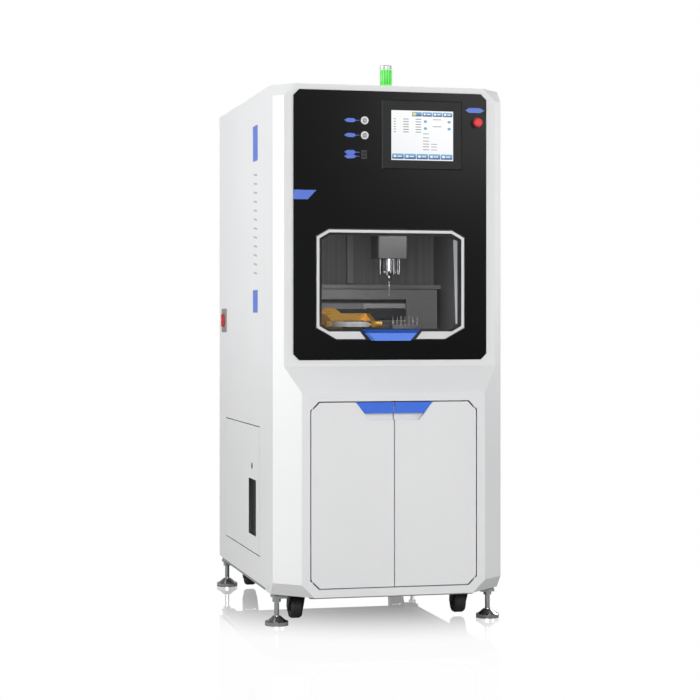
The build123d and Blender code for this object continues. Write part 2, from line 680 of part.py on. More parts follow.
def make_service_cover():
    """Folded service cover in the left side with its black pull recess, and its quarter-turn latch."""
    x_face = -HALF_W
    cover = block(x_face, x_face + COVER_T, COVER_Y0, COVER_Y1, COVER_Z0, COVER_Z1)
    rim = DOOR_RIM
    cover -= block(x_face + DOOR_SKIN, x_face + COVER_T + 1, COVER_Y0 + rim, COVER_Y1 - rim, COVER_Z0 + rim,
                   COVER_Z1 - rim)
    wall = 2.0
    cup = block(x_face + 0.5, x_face + SLOT_DEPTH + wall, SLOT_Y0 - wall, SLOT_Y1 + wall, SLOT_Z0 - wall,
                SLOT_Z1 + wall)
    cup -= block(x_face - 1, x_face + SLOT_DEPTH, SLOT_Y0, SLOT_Y1, SLOT_Z0, SLOT_Z1)
    cover -= block(x_face - 1, x_face + COVER_T + 1, SLOT_Y0, SLOT_Y1, SLOT_Z0, SLOT_Z1)
    cover += cup
    boss = rod((x_face + DOOR_SKIN, LATCH_Y, LATCH_Z), (1, 0, 0), LATCH_R + 5, COVER_T - DOOR_SKIN - 4)
    cover += boss
    cover -= rod((x_face - 1, LATCH_Y, LATCH_Z), (1, 0, 0), LATCH_R + 0.08, COVER_T + 5)
    axis = (x_face + COVER_BACK, COVER_Y1 - HINGE_IN)
    for z0 in (COVER_Z0 - 1, COVER_Z1 - PIN_DEEP):
        cover -= rod((axis[0], axis[1], z0), (0, 0, 1), PIN_R + PIN_FIT, PIN_DEEP + 1)
    save("service_cover", cover)
    latch = rod((x_face - 0.5, LATCH_Y, LATCH_Z), (1, 0, 0), LATCH_R, COVER_T - 2)
    latch -= block(x_face - 1, x_face + 2, LATCH_Y - 1.5, LATCH_Y + 1.5, LATCH_Z - 8, LATCH_Z + 8)
    cam_x = x_face + COVER_T - 2.5
    latch += block(cam_x, cam_x + 3, LATCH_Y - 8, LATCH_Y + 8, LATCH_Z - 12, LATCH_Z + 34)
    save("cover_latch", latch)


def make_hinges():
    """Fixed steel hinge parts: cover pivot brackets, and the window's fixed knuckles with its pin."""
    parts = []
    x_axis = -HALF_W + COVER_BACK
    y_axis = COVER_Y1 - HINGE_IN
    for z_end, up in ((COVER_Z0, -1), (COVER_Z1, 1)):
        pin = rod((x_axis, y_axis, z_end - up * (PIN_DEEP - 1)), (0, 0, up), PIN_R, PIN_DEEP + 10)
        z_a = z_end + up * (RUN_GAP + 1)
        arm = block(x_axis - COVER_BACK + SHEET, x_axis + 8, y_axis - 8, y_axis + 22, z_a, z_a + up * 5)
        parts.append(pin + arm)
    front = Y_FACE_UP - PANEL_T
    axis = (0, front + HINGE_KNUCKLE, HINGE_Z)
    half = WIN_TOP_HALF - 6
    leaf = hinge_knuckles(half, axis, 0, frame_side=False)
    pin = rod((-half + KNUCKLE_GAP, axis[1], axis[2]), (1, 0, 0), PIN_HINGE_R, 2 * half - 2 * KNUCKLE_GAP)
    back = block(-half, half, Y_FACE_UP, Y_FACE_UP + 2.8, HINGE_Z + HINGE_KNUCKLE, HINGE_Z + 24)
    parts.append(leaf + pin + back)
    save("hinges", parts)


def make_controls():
    """Screen unit, push buttons, emergency stop and USB port on the black panel."""
    front = Y_FACE_UP - PANEL_T
    bezel = block(HMI_X0, HMI_X1, front - 4, front, HMI_Z0, HMI_Z1)
    bezel = chamfer(bezel.faces().sort_by(Axis.Y)[0].edges(), 2.5)
    bezel += block(HMI_X0 + 7, HMI_X1 - 7, front, front + 40, HMI_Z0 + 7, HMI_Z1 - 7)
    bezel -= block(SCREEN_X0, SCREEN_X1, front - 10, front - 1, SCREEN_Z0, SCREEN_Z1)
    save("hmi_bezel", bezel)
    screen = block(SCREEN_X0 + 0.2, SCREEN_X1 - 0.2, front - 3.2, front - 1, SCREEN_Z0 + 0.2, SCREEN_Z1 - 0.2)
    save("hmi_screen", screen)
    fittings = []
    for z in BUTTON_Z:
        ring = tube((BUTTON_X, front - 2, z), (0, 1, 0), BUTTON_HEAD_R, BUTTON_R - 1.4, 2)
        ring += tube((BUTTON_X, front, z), (0, 1, 0), BUTTON_R - 0.1, BUTTON_R - 1.4, 26)
        ring += rod((BUTTON_X, front + 24, z), (0, 1, 0), BUTTON_R - 0.1, 3)
        ring += tube((BUTTON_X, Y_FACE_UP, z), (0, 1, 0), BUTTON_R + 3, BUTTON_R - 0.2, 4)
        fittings.append(ring)
    collar = tube((ESTOP_X, front - 3, ESTOP_Z), (0, 1, 0), ESTOP_R + 2.5, 6.0, 3)
    collar += tube((ESTOP_X, front, ESTOP_Z), (0, 1, 0), ESTOP_NECK - 0.1, 6.0, 34)
    collar += rod((ESTOP_X, front + 32, ESTOP_Z), (0, 1, 0), ESTOP_NECK - 0.1, 3)
    fittings.append(collar)
    port = block(USB_X - USB_W / 2, USB_X + USB_W / 2, front - 2, front, USB_Z - USB_H / 2, USB_Z + USB_H / 2)
    inner_w, inner_h = USB_W / 2 - 2.3, USB_H / 2 - 2.3
    port += block(USB_X - inner_w, USB_X + inner_w, front, front + 22, USB_Z - inner_h, USB_Z + inner_h)
    for z in (USB_Z - 6.2, USB_Z + 6.2):
        port -= block(USB_X - 6.4, USB_X + 6.4, front - 3, front + 14, z - 3.2, z + 3.2)
        port += block(USB_X - 5.6, USB_X + 5.6, front, front + 15, z + 0.2, z + 2.0)
    fittings.append(port)
    save("panel_fittings", fittings)
    for z, node in zip(BUTTON_Z, ("button_upper", "button_lower")):
        cap = rod((BUTTON_X, front - 4.5, z), (0, 1, 0), BUTTON_R - 1.5, 7.5)
        cap = fillet(cap.edges().sort_by(Axis.Y)[:1], 1.0)
        cap += rod((BUTTON_X, front + 3, z), (0, 1, 0), BUTTON_R - 4, 17.7)
        save(node, cap)
    grip = ESTOP_R
    profile = Plane.XY * Polygon((0, 0), (grip - 4, 0), (grip, 3.5), (grip, 9), (grip - 4, 13), (5.9, 13), (5.9, 45),
                                 (0, 45), align=None)
    head = revolve(profile, Axis.Y)
    save("estop_head", Pos(ESTOP_X, front - 21.5, ESTOP_Z) * head)


def make_isolator():
    """Grey isolator plate on the left side with its red rotary handle."""
    half_y, half_z = ISO_PLATE_Y, ISO_PLATE_Z / 2
    x_face = -HALF_W
    plate = block(x_face - 3, x_face, ISO_Y - half_y, ISO_Y + half_y, ISO_Z - half_z, ISO_Z + half_z)
    plate = chamfer(plate.faces().sort_by(Axis.X)[0].edges(), 1.5)
    plate += rod((x_face, ISO_Y, ISO_Z), (1, 0, 0), 15.5, 45)
    plate += block(x_face + 20, x_face + 46, ISO_Y - 26, ISO_Y + 26, ISO_Z - 26, ISO_Z + 26)
    plate += block(x_face + SHEET, x_face + 8, ISO_Y - 28, ISO_Y + 28, ISO_Z - 28, ISO_Z + 28)
    plate -= rod((x_face - 4, ISO_Y, ISO_Z), (1, 0, 0), 6.08, 30)
    save("isolator_plate", plate)
    disc = rod((x_face - 5.5, ISO_Y, ISO_Z), (1, 0, 0), 24.0, 2.4)
    disc += block(x_face - 12.5, x_face - 5.5, ISO_Y - 6, ISO_Y + 6, ISO_Z - 23, ISO_Z + 23)
    disc = disc & rod((x_face - 30, ISO_Y, ISO_Z), (1, 0, 0), 24.0, 40)
    disc += rod((x_face - 5, ISO_Y, ISO_Z), (1, 0, 0), 6.0, 28)
    save("isolator_handle", disc)


def make_tower():
    """Signal tower on the cap: base, banded green lens and a silver lid."""
    y = Y_FACE_UP + TOWER_BACK
    base = rod((0, y, Z_TOP), (0, 0, 1), TOWER_R, TOWER_BASE_H)
    lens_z = Z_TOP + TOWER_BASE_H
    lid = rod((0, y, Z_TOWER - TOWER_LID_H), (0, 0, 1), TOWER_R, TOWER_LID_H)
    lid = fillet(lid.edges().sort_by(Axis.Z)[-1:], 3.0)
    lens = rod((0, y, lens_z), (0, 0, 1), TOWER_R - 0.8, Z_TOWER - TOWER_LID_H - lens_z)
    lens -= rod((0, y, lens_z - 1), (0, 0, 1), TOWER_R - 4, Z_TOWER)
    bulb = rod((0, y, lens_z), (0, 0, 1), 9.0, Z_TOWER - TOWER_LID_H - lens_z)
    save("tower_housing", [base + bulb + lid])
    save("tower_lens", lens)


def make_chamber():
    """Milling chamber liner with its hopper floor, and the steel guards in front of its back wall."""
    t = CH_WALL
    x, y0, y1 = CH_HALF_W, CH_Y0, CH_Y1
    tub = block(-x - t, x + t, y0, y1 + t, CH_Z0, CH_Z1 + t)
    tub -= block(-x, x, y0 - 1, y1, CH_Z0 - 1, CH_Z1)
    slot_half, slot_y0, slot_y1 = 222.0, SPINDLE_Y - 62, SPINDLE_Y + 62
    tub -= block(-slot_half, slot_half, slot_y0, slot_y1, CH_Z1 - 1, CH_Z1 + 10)
    tub -= block(ARM_X0 - 8, ARM_X1 + 8, y1 - 1, y1 + 5, ARM_Z0 - 6, ARM_Z1 + 6)
    tub += block(-x, x, y0, y0 + t, CH_Z0, WIN_Z_BOT + 2)
    tub += block(-x, x, y0, y0 + t, WIN_Z_TOP + 8, CH_Z1)
    tub += block(-19.5, 2, y1 - 20, y1, 1118, CH_Z1)
    mid_y = (y0 + y1) / 2
    outer = Plane.XY.offset(CH_Z0) * Pos(0, mid_y) * Rectangle(2 * (x + t), y1 + t - y0)
    lower = Plane.XY.offset(CH_Z0 - HOPPER_DROP) * Pos(0, DUCT_Y) * Rectangle(2 * DUCT_R + 4, 2 * DUCT_R + 4)
    inner = Plane.XY.offset(CH_Z0) * Pos(0, mid_y) * Rectangle(2 * x, y1 - y0 - t)
    inner_low = Plane.XY.offset(CH_Z0 - HOPPER_DROP) * Pos(0, DUCT_Y) * Rectangle(2 * DUCT_R, 2 * DUCT_R)
    hopper = loft([outer, lower], ruled=True) - loft([inner, inner_low], ruled=True)
    save("chamber_tub", tub + hopper)
    guard = [(-CH_HALF_W, GUARD_Z0), (GUARD_LEG_X, GUARD_Z0), (GUARD_LEG_X, CH_Z0), (GUARD_END_X, CH_Z0),
             (GUARD_END_X, GUARD_Z1), (-CH_HALF_W, GUARD_Z1)]
    plate = front_plate(guard, GUARD_Y, 2.0)
    lower_plate = block(-CH_HALF_W, PLATE_END_X, GUARD_Y + 4, GUARD_Y + 6, CH_Z0, PLATE_Z1)
    lower_plate -= block(ARM_SLOT_X0, ARM_SLOT_X1, GUARD_Y, GUARD_Y + 10, ARM_Z0 - 6, ARM_Z1 + 4)
    ledge_y = GUARD_Y + LEDGE_BACK
    ledge = block(-CH_HALF_W, CH_HALF_W, ledge_y, ledge_y + LEDGE_T, LEDGE_Z0, LEDGE_Z1)
    ledge += block(-CH_HALF_W, CH_HALF_W, ledge_y, CH_Y1, LEDGE_Z1 - LEDGE_T, LEDGE_Z1)
    save("way_cover", [plate, lower_plate, ledge])
    pins = []
    rack = block(RACK_X0, RACK_X1, SPINDLE_Y - 22, SPINDLE_Y + 22, RACK_Z - 13, RACK_Z)
    rack = chamfer(rack.faces().sort_by(Axis.Z)[-1].edges(), 2.0)
    rack += block(RACK_X0 + 4, RACK_X1 - 4, SPINDLE_Y + 10, GUARD_Y, RACK_Z - 13, RACK_Z - 9)
    first = RACK_X0 + 7
    for k in range(BURS):
        at = (first + k * BUR_PITCH, SPINDLE_Y, RACK_Z - 10)
        rack -= rod(at, (0, 0, 1), 1.6, 20)
        pins.append(rod(at, (0, 0, 1), 1.5, 28) + rod((at[0], at[1], at[2] + 28), (0, 0, 1), 0.9, 12))
        pins[-1] += rod((at[0], at[1], RACK_Z + 3), (0, 0, 1), 3.0, 4)
    save("tool_rack", rack)
    save("tool_burs", pins)


def make_machine():
    """Cast bed, portal bridge, rails and screw drives: everything of the mechanism that stays still."""
    z0 = DECK_Z + TUBE
    bed = block(-BED_HALF_W, BED_HALF_W, BED_Y0, BED_Y1, z0, BED_Z1)
    for side in (-1, 1):
        bed += block(side * BED_MOUTH, side * BED_HALF_W, FRAME_Y0 + 20, BED_Y0, z0, BED_Z1)
    for x in (-RAIL_X, RAIL_X):
        bed += block(x - 30, x + 30, RAIL_Y0, RAIL_Y1, BED_Z1, BED_Z1 + RAIL_BASE_H)
    bed += block(SCREW_Y_X - 30, SCREW_Y_X + 30, 430, 470, BED_Z1, SCREW_Y_Z + 28)
    save("machine_bed", bed)
    beam_z1 = HEAD_Z + HEAD_H
    bridge = block(-BED_HALF_W, BED_HALF_W, BRIDGE_Y, BRIDGE_Y + 130, HEAD_Z, beam_z1)
    for side in (-1, 1):
        foot = [(BRIDGE_Y, BED_Z1), (BRIDGE_Y + 190, BED_Z1), (BRIDGE_Y + 130, HEAD_Z), (BRIDGE_Y, HEAD_Z)]
        bridge += side_plate(foot, side * (BED_HALF_W - 23) - 22, 44)
    bridge -= block(-240, 240, BRIDGE_Y + 20, BRIDGE_Y + 140, HEAD_Z + 20, beam_z1 - 20)
    screw_end = BED_HALF_W - 35
    for side in (-1, 1):
        bridge += block(side * screw_end, side * (screw_end + 20), BRIDGE_Y - 24, BRIDGE_Y, HEAD_Z + 50,
                        HEAD_Z + 90)
    save("gantry_bridge", bridge)
    rails = []
    for z in (HEAD_Z + 25, HEAD_Z + HEAD_H - 25):
        reach = BED_HALF_W - 40
        rails.append(block(-reach, reach, BRIDGE_Y - RAIL_H, BRIDGE_Y, z - RAIL_W / 2, z + RAIL_W / 2))
    rail_z = BED_Z1 + RAIL_BASE_H
    for x in (-RAIL_X, RAIL_X):
        rails.append(block(x - RAIL_W / 2, x + RAIL_W / 2, RAIL_Y0, RAIL_Y1, rail_z, rail_z + RAIL_H))
    save("axis_rails", rails)
    y_mid = BRIDGE_Y - 12
    screw_x = rod((-screw_end, y_mid, HEAD_Z + 70), (1, 0, 0), SCREW_R, 2 * screw_end)
    motor_x = block(-screw_end - 38, -screw_end - 20, y_mid - 26, y_mid + 12, HEAD_Z + 44, HEAD_Z + 96)
    screw_y = rod((SCREW_Y_X, 430, SCREW_Y_Z), (0, -1, 0), SCREW_R, 368)
    motor_y = block(SCREW_Y_X - 26, SCREW_Y_X + 26, 470, 520, SCREW_Y_Z - 26, SCREW_Y_Z + 26)
    save("axis_drives", [screw_x, motor_x, screw_y, motor_y])


def make_service_bay():
    """Storage liner behind the doors, and the dust collector, its duct and the control box behind it."""
    liner = block(-LINER_HALF_W, LINER_HALF_W, LINER_Y0, LINER_Y1, LINER_Z0, LINER_Z1)
    t = 1.5
    for z0, z1 in ((LINER_Z0 + t, SHELF_Z), (SHELF_Z + t, LINER_Z1 - t)):
        liner -= block(t - LINER_HALF_W, LINER_HALF_W - t, LINER_Y0 - 1, LINER_Y1 - t, z0, z1)
    save("cabinet_liner", liner)
    z0 = BASE_Z0 + TUBE
    base = rod((COLLECT_X, COLLECT_Y, z0), (0, 0, 1), COLLECT_R, COLLECT_H)
    base = fillet(base.edges().sort_by(Axis.Z)[:1], 12)
    base += rod((COLLECT_X, COLLECT_Y, z0 + COLLECT_H * 0.62), (0, 0, 1), COLLECT_R + 6, 14)
    lid = Cone(COLLECT_R, DUCT_R + 18, 60, align=(Align.CENTER, Align.CENTER, Align.MIN))
    base += Pos(COLLECT_X, COLLECT_Y, z0 + COLLECT_H) * lid
    base += rod((COLLECT_X, COLLECT_Y, z0 + COLLECT_H + 60), (0, 0, 1), DUCT_R + 4, 16)
    base -= rod((COLLECT_X, COLLECT_Y, z0 + COLLECT_H + 30), (0, 0, 1), DUCT_R - DUCT_WALL, 60)
    save("dust_collector", base)
    z_in = z0 + COLLECT_H + 76
    z_out = CH_Z0 - HOPPER_DROP
    path = FilletPolyline((0, DUCT_Y, z_out), (0, DUCT_Y, DECK_Z - 60), (COLLECT_X, COLLECT_Y, z_in + 60),
                          (COLLECT_X, COLLECT_Y, z_in), radius=48)
    start = Plane(origin=(0, DUCT_Y, z_out), z_dir=(0, 0, -1))
    duct = sweep(start * Circle(DUCT_R), path=path) - sweep(start * Circle(DUCT_R - DUCT_WALL), path=path)
    save("suction_duct", duct)
    box = block(CTRL_X0, CTRL_X1, CTRL_Y0, CTRL_Y1, CTRL_Z0, CTRL_Z1)
    box = fillet(box.edges().filter_by(Axis.X), 6)
    box -= block(CTRL_X0 + SHEET, CTRL_X1 - SHEET, CTRL_Y0 + SHEET, CTRL_Y1 - SHEET, CTRL_Z0 + SHEET,
                 CTRL_Z1 - SHEET)
    box += block(CTRL_X0 - 4, CTRL_X0, CTRL_Y0 - 6, CTRL_Y1 + 6, CTRL_Z0 - 6, CTRL_Z1 + 6)
    for y in (CTRL_Y0 + 30, CTRL_Y1 - 30):
        box += block(CTRL_X1 - 30, FRAME_HALF_W - TUBE, y - 15, y + 15, CTRL_Z0 - 3, CTRL_Z0)
        box += block(CTRL_X0 + 20, FRAME_HALF_W - 5, y - 15, y + 15, z0, z0 + 3)
        box += block(CTRL_X0 + 20, CTRL_X0 + 32, y - 15, y + 15, z0, CTRL_Z0)
    for k in range(4):
        box += rod((CTRL_X0 + 60, CTRL_Y0 + 60 + 50 * k, CTRL_Z1), (0, 0, 1), 9, 16)
    save("control_box", box)


def make_rear_fittings():
    """Fan guard with its hub, the threaded air inlet and the mains inlet, and the turning fan wheel."""
    y = Y_BACK
    guard = None
    for radius in (18.0, 30.0, 42.0, 54.0):
        ring = tube((FAN_X, y, FAN_Z), (0, 1, 0), radius + 1.2, radius - 1.2, 3)
        guard = ring if guard is None else guard + ring
    for turn in (0, 90):
        bar = Rot(0, turn, 0) * block(-68, 68, 0, 3, -1.6, 1.6)
        guard += Pos(FAN_X, y, FAN_Z) * bar
    guard += rod((FAN_X, y, FAN_Z), (0, 1, 0), 12.0, 3)
    shroud = tube((FAN_X, y - 2 - 30, FAN_Z), (0, 1, 0), FAN_R + 6, FAN_R + 1.5, 30)
    for turn in (45, 135, 225, 315):
        arm = Rot(0, turn, 0) * block(10, FAN_R + 3, 0, 3, -3, 3)
        shroud += Pos(FAN_X, y - 32, FAN_Z) * arm
    shroud += rod((FAN_X, y - 32, FAN_Z), (0, 1, 0), 14.0, 3)
    shroud += rod((FAN_X, y - 29, FAN_Z), (0, 1, 0), 3.0, 24)
    air = rod((AIR_X, y, INLET_Z), (0, 1, 0), 14.0, 9)
    air = chamfer(air.edges().sort_by(Axis.Y)[-1:], 1.0)
    air += rod((AIR_X, y - 26, INLET_Z), (0, 1, 0), AIR_R + 0.4, 27)
    air -= rod((AIR_X, y - 8, INLET_Z), (0, 1, 0), AIR_THREAD_R, 30)
    mains = block(MAINS_X - 25, MAINS_X + 25, y, y + 3, INLET_Z - 30, INLET_Z + 30)
    mains = chamfer(mains.faces().sort_by(Axis.Y)[-1].edges(), 1.2)
    mains += block(MAINS_X - 13.5, MAINS_X + 13.5, y - 30, y, INLET_Z - 23.5, INLET_Z + 23.5)
    mains -= block(MAINS_X - 11, MAINS_X + 11, y - 20, y + 10, INLET_Z - 16, INLET_Z + 16)
    for dx, dz in ((-6, 6), (6, 6), (0, -8)):
        mains += block(MAINS_X + dx - 1.2, MAINS_X + dx + 1.2, y - 21, y - 3, INLET_Z + dz - 3,
                       INLET_Z + dz + 3)
    save("rear_fittings", [guard, shroud, air, mains])
    hub = rod((0, 5, 0), (0, 1, 0), 20.0, 18) - rod((0, 4, 0), (0, 1, 0), 3.06, 30)
    blade_plane = Plane(origin=(0, 0, 18), z_dir=(0, 0, 1))
    for k in range(7):
        root = Plane(origin=(0, 14, 18), z_dir=(0, 0, 1)) * Rot(0, 0, 35) * Rectangle(22, 1.8)
        tip = Plane(origin=(0, 14, FAN_R - 2), z_dir=(0, 0, 1)) * Rot(0, 0, 20) * Rectangle(30, 1.4)
        hub += Rot(0, 360 / 7 * k, 0) * loft([root, tip], ruled=True)
    hub = hub & block(-90, 90, 4.2, 24, -90, 90)
    save("fan_rotor", Pos(FAN_X, y - 32, FAN_Z) * hub)


def make_motion():
    """The moving slides and rotary axes of the five-axis mechanism."""
    x = SPINDLE_X
    zc = HEAD_Z + HEAD_H / 2
    y_front = SPINDLE_Y + HOUSING_W / 2
    z0, z1 = HEAD_Z + 8, HEAD_Z + HEAD_H - 8
    gap = 0.5
    carriage = block(x - 75, x + 75, BRIDGE_Y - RAIL_H - 34, BRIDGE_Y - RAIL_H + 10, z0, z1)
    for z in (HEAD_Z + 25, HEAD_Z + HEAD_H - 25):
        low, high = z - RAIL_W / 2 - gap, z + RAIL_W / 2 + gap
        carriage -= block(x - 90, x + 90, BRIDGE_Y - RAIL_H - gap, BRIDGE_Y + 5, low, high)
    carriage -= block(x - 90, x + 90, BRIDGE_Y - RAIL_H - 14, BRIDGE_Y, zc - 20, zc + 20)
    arm_back = BRIDGE_Y - RAIL_H - 34
    carriage += block(x - 45, x + 45, y_front + 24, arm_back, z0 + 10, z1 - 10)
    carriage += block(x - 55, x + 55, y_front + 12, y_front + 24, z0 - 2, HEAD_Z + 300)
    for dx in (-36, 36):
        rail = block(x + dx - 6, x + dx + 6, y_front + 2, y_front + 12, z0, HEAD_Z + 296)
        carriage += rail
    save("x_carriage", carriage)
    head = block(x - HOUSING_W / 2, x + HOUSING_W / 2, y_front - HOUSING_W, y_front, HOUSING_Z, HEAD_Z + 180)
    head = chamfer(head.edges().filter_by(Axis.Z), 4)
    for dx in (-36, 36):
        head -= block(x + dx - 6 - gap, x + dx + 6 + gap, y_front - 8, y_front + 1, HOUSING_Z + 100,
                      HEAD_Z + 200)
        head += block(x + dx - 14, x + dx - 6 - gap, y_front - 2, y_front + 11, HEAD_Z + 30, HEAD_Z + 90)
        head += block(x + dx + 6 + gap, x + dx + 14, y_front - 2, y_front + 11, HEAD_Z + 30, HEAD_Z + 90)
    head -= rod((x, SPINDLE_Y, HOUSING_Z - 1), (0, 0, 1), SPINDLE_R, 61)
    save("z_housing", head)
    body = rod((x, SPINDLE_Y, SPINDLE_Z + 16), (0, 0, 1), SPINDLE_R, HOUSING_Z + 60 - SPINDLE_Z - 16)
    nose = Cone(13, SPINDLE_R - 3, 16, align=(Align.CENTER, Align.CENTER, Align.MIN))
    body += Pos(x, SPINDLE_Y, SPINDLE_Z) * nose
    for turn in (-120, -60, 0):
        angle = math.radians(turn - 30)
        at = (x + 22 * math.cos(angle), SPINDLE_Y + 22 * math.sin(angle), SPINDLE_Z + 8)
        body += rod(at, (0, 0, 1), 3.0, 18)
    body -= rod((x, SPINDLE_Y, SPINDLE_Z - 1), (0, 0, 1), 8.06, 52)
    save("spindle_body", body)
    shaft = rod((x, SPINDLE_Y, SPINDLE_Z - 8), (0, 0, 1), 8.0, 58)
    tip = Cone(4.5, 8.0, 12, align=(Align.CENTER, Align.CENTER, Align.MIN))
    shaft += Pos(x, SPINDLE_Y, SPINDLE_Z - 20) * tip
    shaft += rod((x, SPINDLE_Y, SPINDLE_Z - 38), (0, 0, 1), 1.5, 20)
    shaft += rod((x, SPINDLE_Y, SPINDLE_Z - 34), (0, 0, 1), 3.2, 5)
    shaft += rod((x, SPINDLE_Y, TOOL_TIP_Z), (0, 0, 1), 1.0, SPINDLE_Z - 36 - TOOL_TIP_Z)
    save("spindle_collet", shaft)


def make_rotary():
    """Y table with its arm through the back wall, the tilting cradle, the clamp ring and a blank."""
    gap = 0.5
    rail_top = BED_Z1 + RAIL_BASE_H + RAIL_H
    table = block(-205, 205, 120, 300, rail_top - RAIL_H + 4, rail_top + 22)
    for x in (-RAIL_X, RAIL_X):
        half = RAIL_W / 2 + gap
        table -= block(x - half, x + half, 100, 320, rail_top - RAIL_H, rail_top + gap)
    nut_z = SCREW_Y_Z + 20
    table -= block(SCREW_Y_X - 12, SCREW_Y_X + 12, 100, 320, SCREW_Y_Z - 12, nut_z)
    table += block(SCREW_Y_X - 15, SCREW_Y_X + 22, 190, 230, rail_top + 5, nut_z)
    table -= rod((SCREW_Y_X, 180, SCREW_Y_Z), (0, 1, 0), SCREW_R + PIN_FIT, 60)
    table += block(ARM_X0, ARM_X1, ARM_FRONT, 300, ARM_Z0, ARM_Z1)
    table += block(ARM_X0, ARM_X1, 120, 300, rail_top + 20, ARM_Z0 + 1)
    table += block(-165, ARM_X1 - 95, ARM_FRONT - 8, ARM_FRONT + 12, ARM_Z0 - 34, ARM_Z1)
    table += block(ARM_X0, ARM_X1, ARM_FRONT - 8, ARM_FRONT, ARM_Z0, ARM_Z1)
    table += block(ARM_X0 - 10, ARM_X0 + 6, ARM_FRONT - 8, ARM_FRONT + 12, ARM_Z0, ARM_Z1)
    hub_y = ARM_FRONT - 8
    table -= rod((TILT_X, hub_y - 1, TILT_Z), (0, 1, 0), 9.06, 16)
    save("y_table", table)
    y1 = hub_y - 0.5
    cradle = rod((TILT_X, y1 - 8, TILT_Z), (0, 1, 0), FLANGE_R, 8)
    cradle += rod((TILT_X, y1, TILT_Z), (0, 1, 0), 9.0, 14)
    x0, x1 = CLAMP_X - CLAMP_R - 6, CLAMP_X + CLAMP_R + 6
    bar_y0 = y1 - 8 - 14
    cradle += block(x0 - 14, x1 + 14, bar_y0, y1 - 8, ARM_Z0 - 8, ARM_Z1 - 15)
    arm_y0 = CLAMP_Y - 14
    for a, b in ((x0 - 14, x0), (x1, x1 + 14)):
        outline = [(arm_y0 + 6, ROTARY_Z - 13), (bar_y0 + 8, ROTARY_Z - 13), (bar_y0 + 8, ARM_Z1 - 15),
                   (bar_y0 - 10, ARM_Z1 - 15), (arm_y0, ROTARY_Z + 12), (arm_y0, ROTARY_Z - 7)]
        cradle += side_plate(outline, a, b - a)
    cradle += rod((x1 + 14, CLAMP_Y, ROTARY_Z), (1, 0, 0), 13.0, 24)
    cradle -= rod((x0 - 1 - 10, CLAMP_Y, ROTARY_Z), (1, 0, 0), 5.06, x1 - x0 + 22)
    for k, (dx, dz) in enumerate(((-46, 0), (-34, 6), (-24, -2))):
        cradle -= rod((CLAMP_X + dx, bar_y0 - 1, ARM_Z0 + 2 + dz), (0, 1, 0), 2.6, 5)
    save("tilt_cradle", cradle)
    zc = ROTARY_Z
    ring = rod((CLAMP_X, CLAMP_Y, zc - CLAMP_H / 2), (0, 0, 1), CLAMP_R, CLAMP_H)
    ring -= rod((CLAMP_X, CLAMP_Y, zc - CLAMP_H / 2 - 1), (0, 0, 1), DISC_R - 4, CLAMP_H + 2)
    ring -= rod((CLAMP_X, CLAMP_Y, zc - 5), (0, 0, 1), DISC_R + 0.2, CLAMP_H)
    lid = rod((CLAMP_X, CLAMP_Y, zc + CLAMP_H / 2 - 0.5), (0, 0, 1), DISC_R + 9, 3)
    lid -= rod((CLAMP_X, CLAMP_Y, zc), (0, 0, 1), DISC_R - 4, 20)
    for side in (-1, 1):
        ring += rod((CLAMP_X + side * (CLAMP_R - 3), CLAMP_Y, zc), (side, 0, 0), 5.0, 18)
    save("clamp_ring", ring + lid)
    save("blank_disc", rod((CLAMP_X, CLAMP_Y, zc - 5), (0, 0, 1), DISC_R, 12))


make_front_fascia()
make_front_panel()
make_side_panels()
make_rear_panel()
make_top_panel()
make_base_frame()
make_upper_frame()
make_levelling_feet()
make_casters()
make_doors()
make_window()
make_service_cover()
make_hinges()
make_controls()
make_isolator()
make_tower()
make_chamber()
make_machine()
make_service_bay()
make_rear_fittings()
make_motion()
make_rotary()
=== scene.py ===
import math

import bmesh
import bpy
import numpy as np
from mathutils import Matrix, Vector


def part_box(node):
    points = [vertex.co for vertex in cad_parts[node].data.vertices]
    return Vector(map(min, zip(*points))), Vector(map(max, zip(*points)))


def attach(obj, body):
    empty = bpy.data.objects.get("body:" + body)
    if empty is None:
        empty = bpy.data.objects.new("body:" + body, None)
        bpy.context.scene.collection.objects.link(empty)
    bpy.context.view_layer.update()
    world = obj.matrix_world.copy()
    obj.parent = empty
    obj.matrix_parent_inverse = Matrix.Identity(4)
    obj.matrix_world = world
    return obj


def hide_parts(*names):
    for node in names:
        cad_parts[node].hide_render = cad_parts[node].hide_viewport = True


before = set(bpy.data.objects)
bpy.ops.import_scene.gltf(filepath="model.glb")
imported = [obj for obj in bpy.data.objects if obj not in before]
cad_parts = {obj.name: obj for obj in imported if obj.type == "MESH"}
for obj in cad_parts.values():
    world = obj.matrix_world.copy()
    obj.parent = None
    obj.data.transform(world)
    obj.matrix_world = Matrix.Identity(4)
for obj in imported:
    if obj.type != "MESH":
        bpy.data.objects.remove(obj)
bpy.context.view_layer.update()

# The camera stands where the photographer's would: level, a little left of the machine, with a long lens.
# The horizon lies above the middle of the picture, so the lens is shifted and not tilted.
camera_data = bpy.data.cameras.new("camera")
camera_data.sensor_width = 36.0
camera_data.lens = 97.4
camera_data.shift_y = -0.0372
camera_data.clip_end = 60.0
camera = bpy.data.objects.new("camera", camera_data)
camera.location = (-1.55225, -6.4397, 0.975)
camera.rotation_euler = (math.radians(90), 0, math.radians(-13.448))
bpy.context.scene.collection.objects.link(camera)
bpy.context.scene.camera = camera
bpy.context.scene.view_settings.view_transform = "Standard"


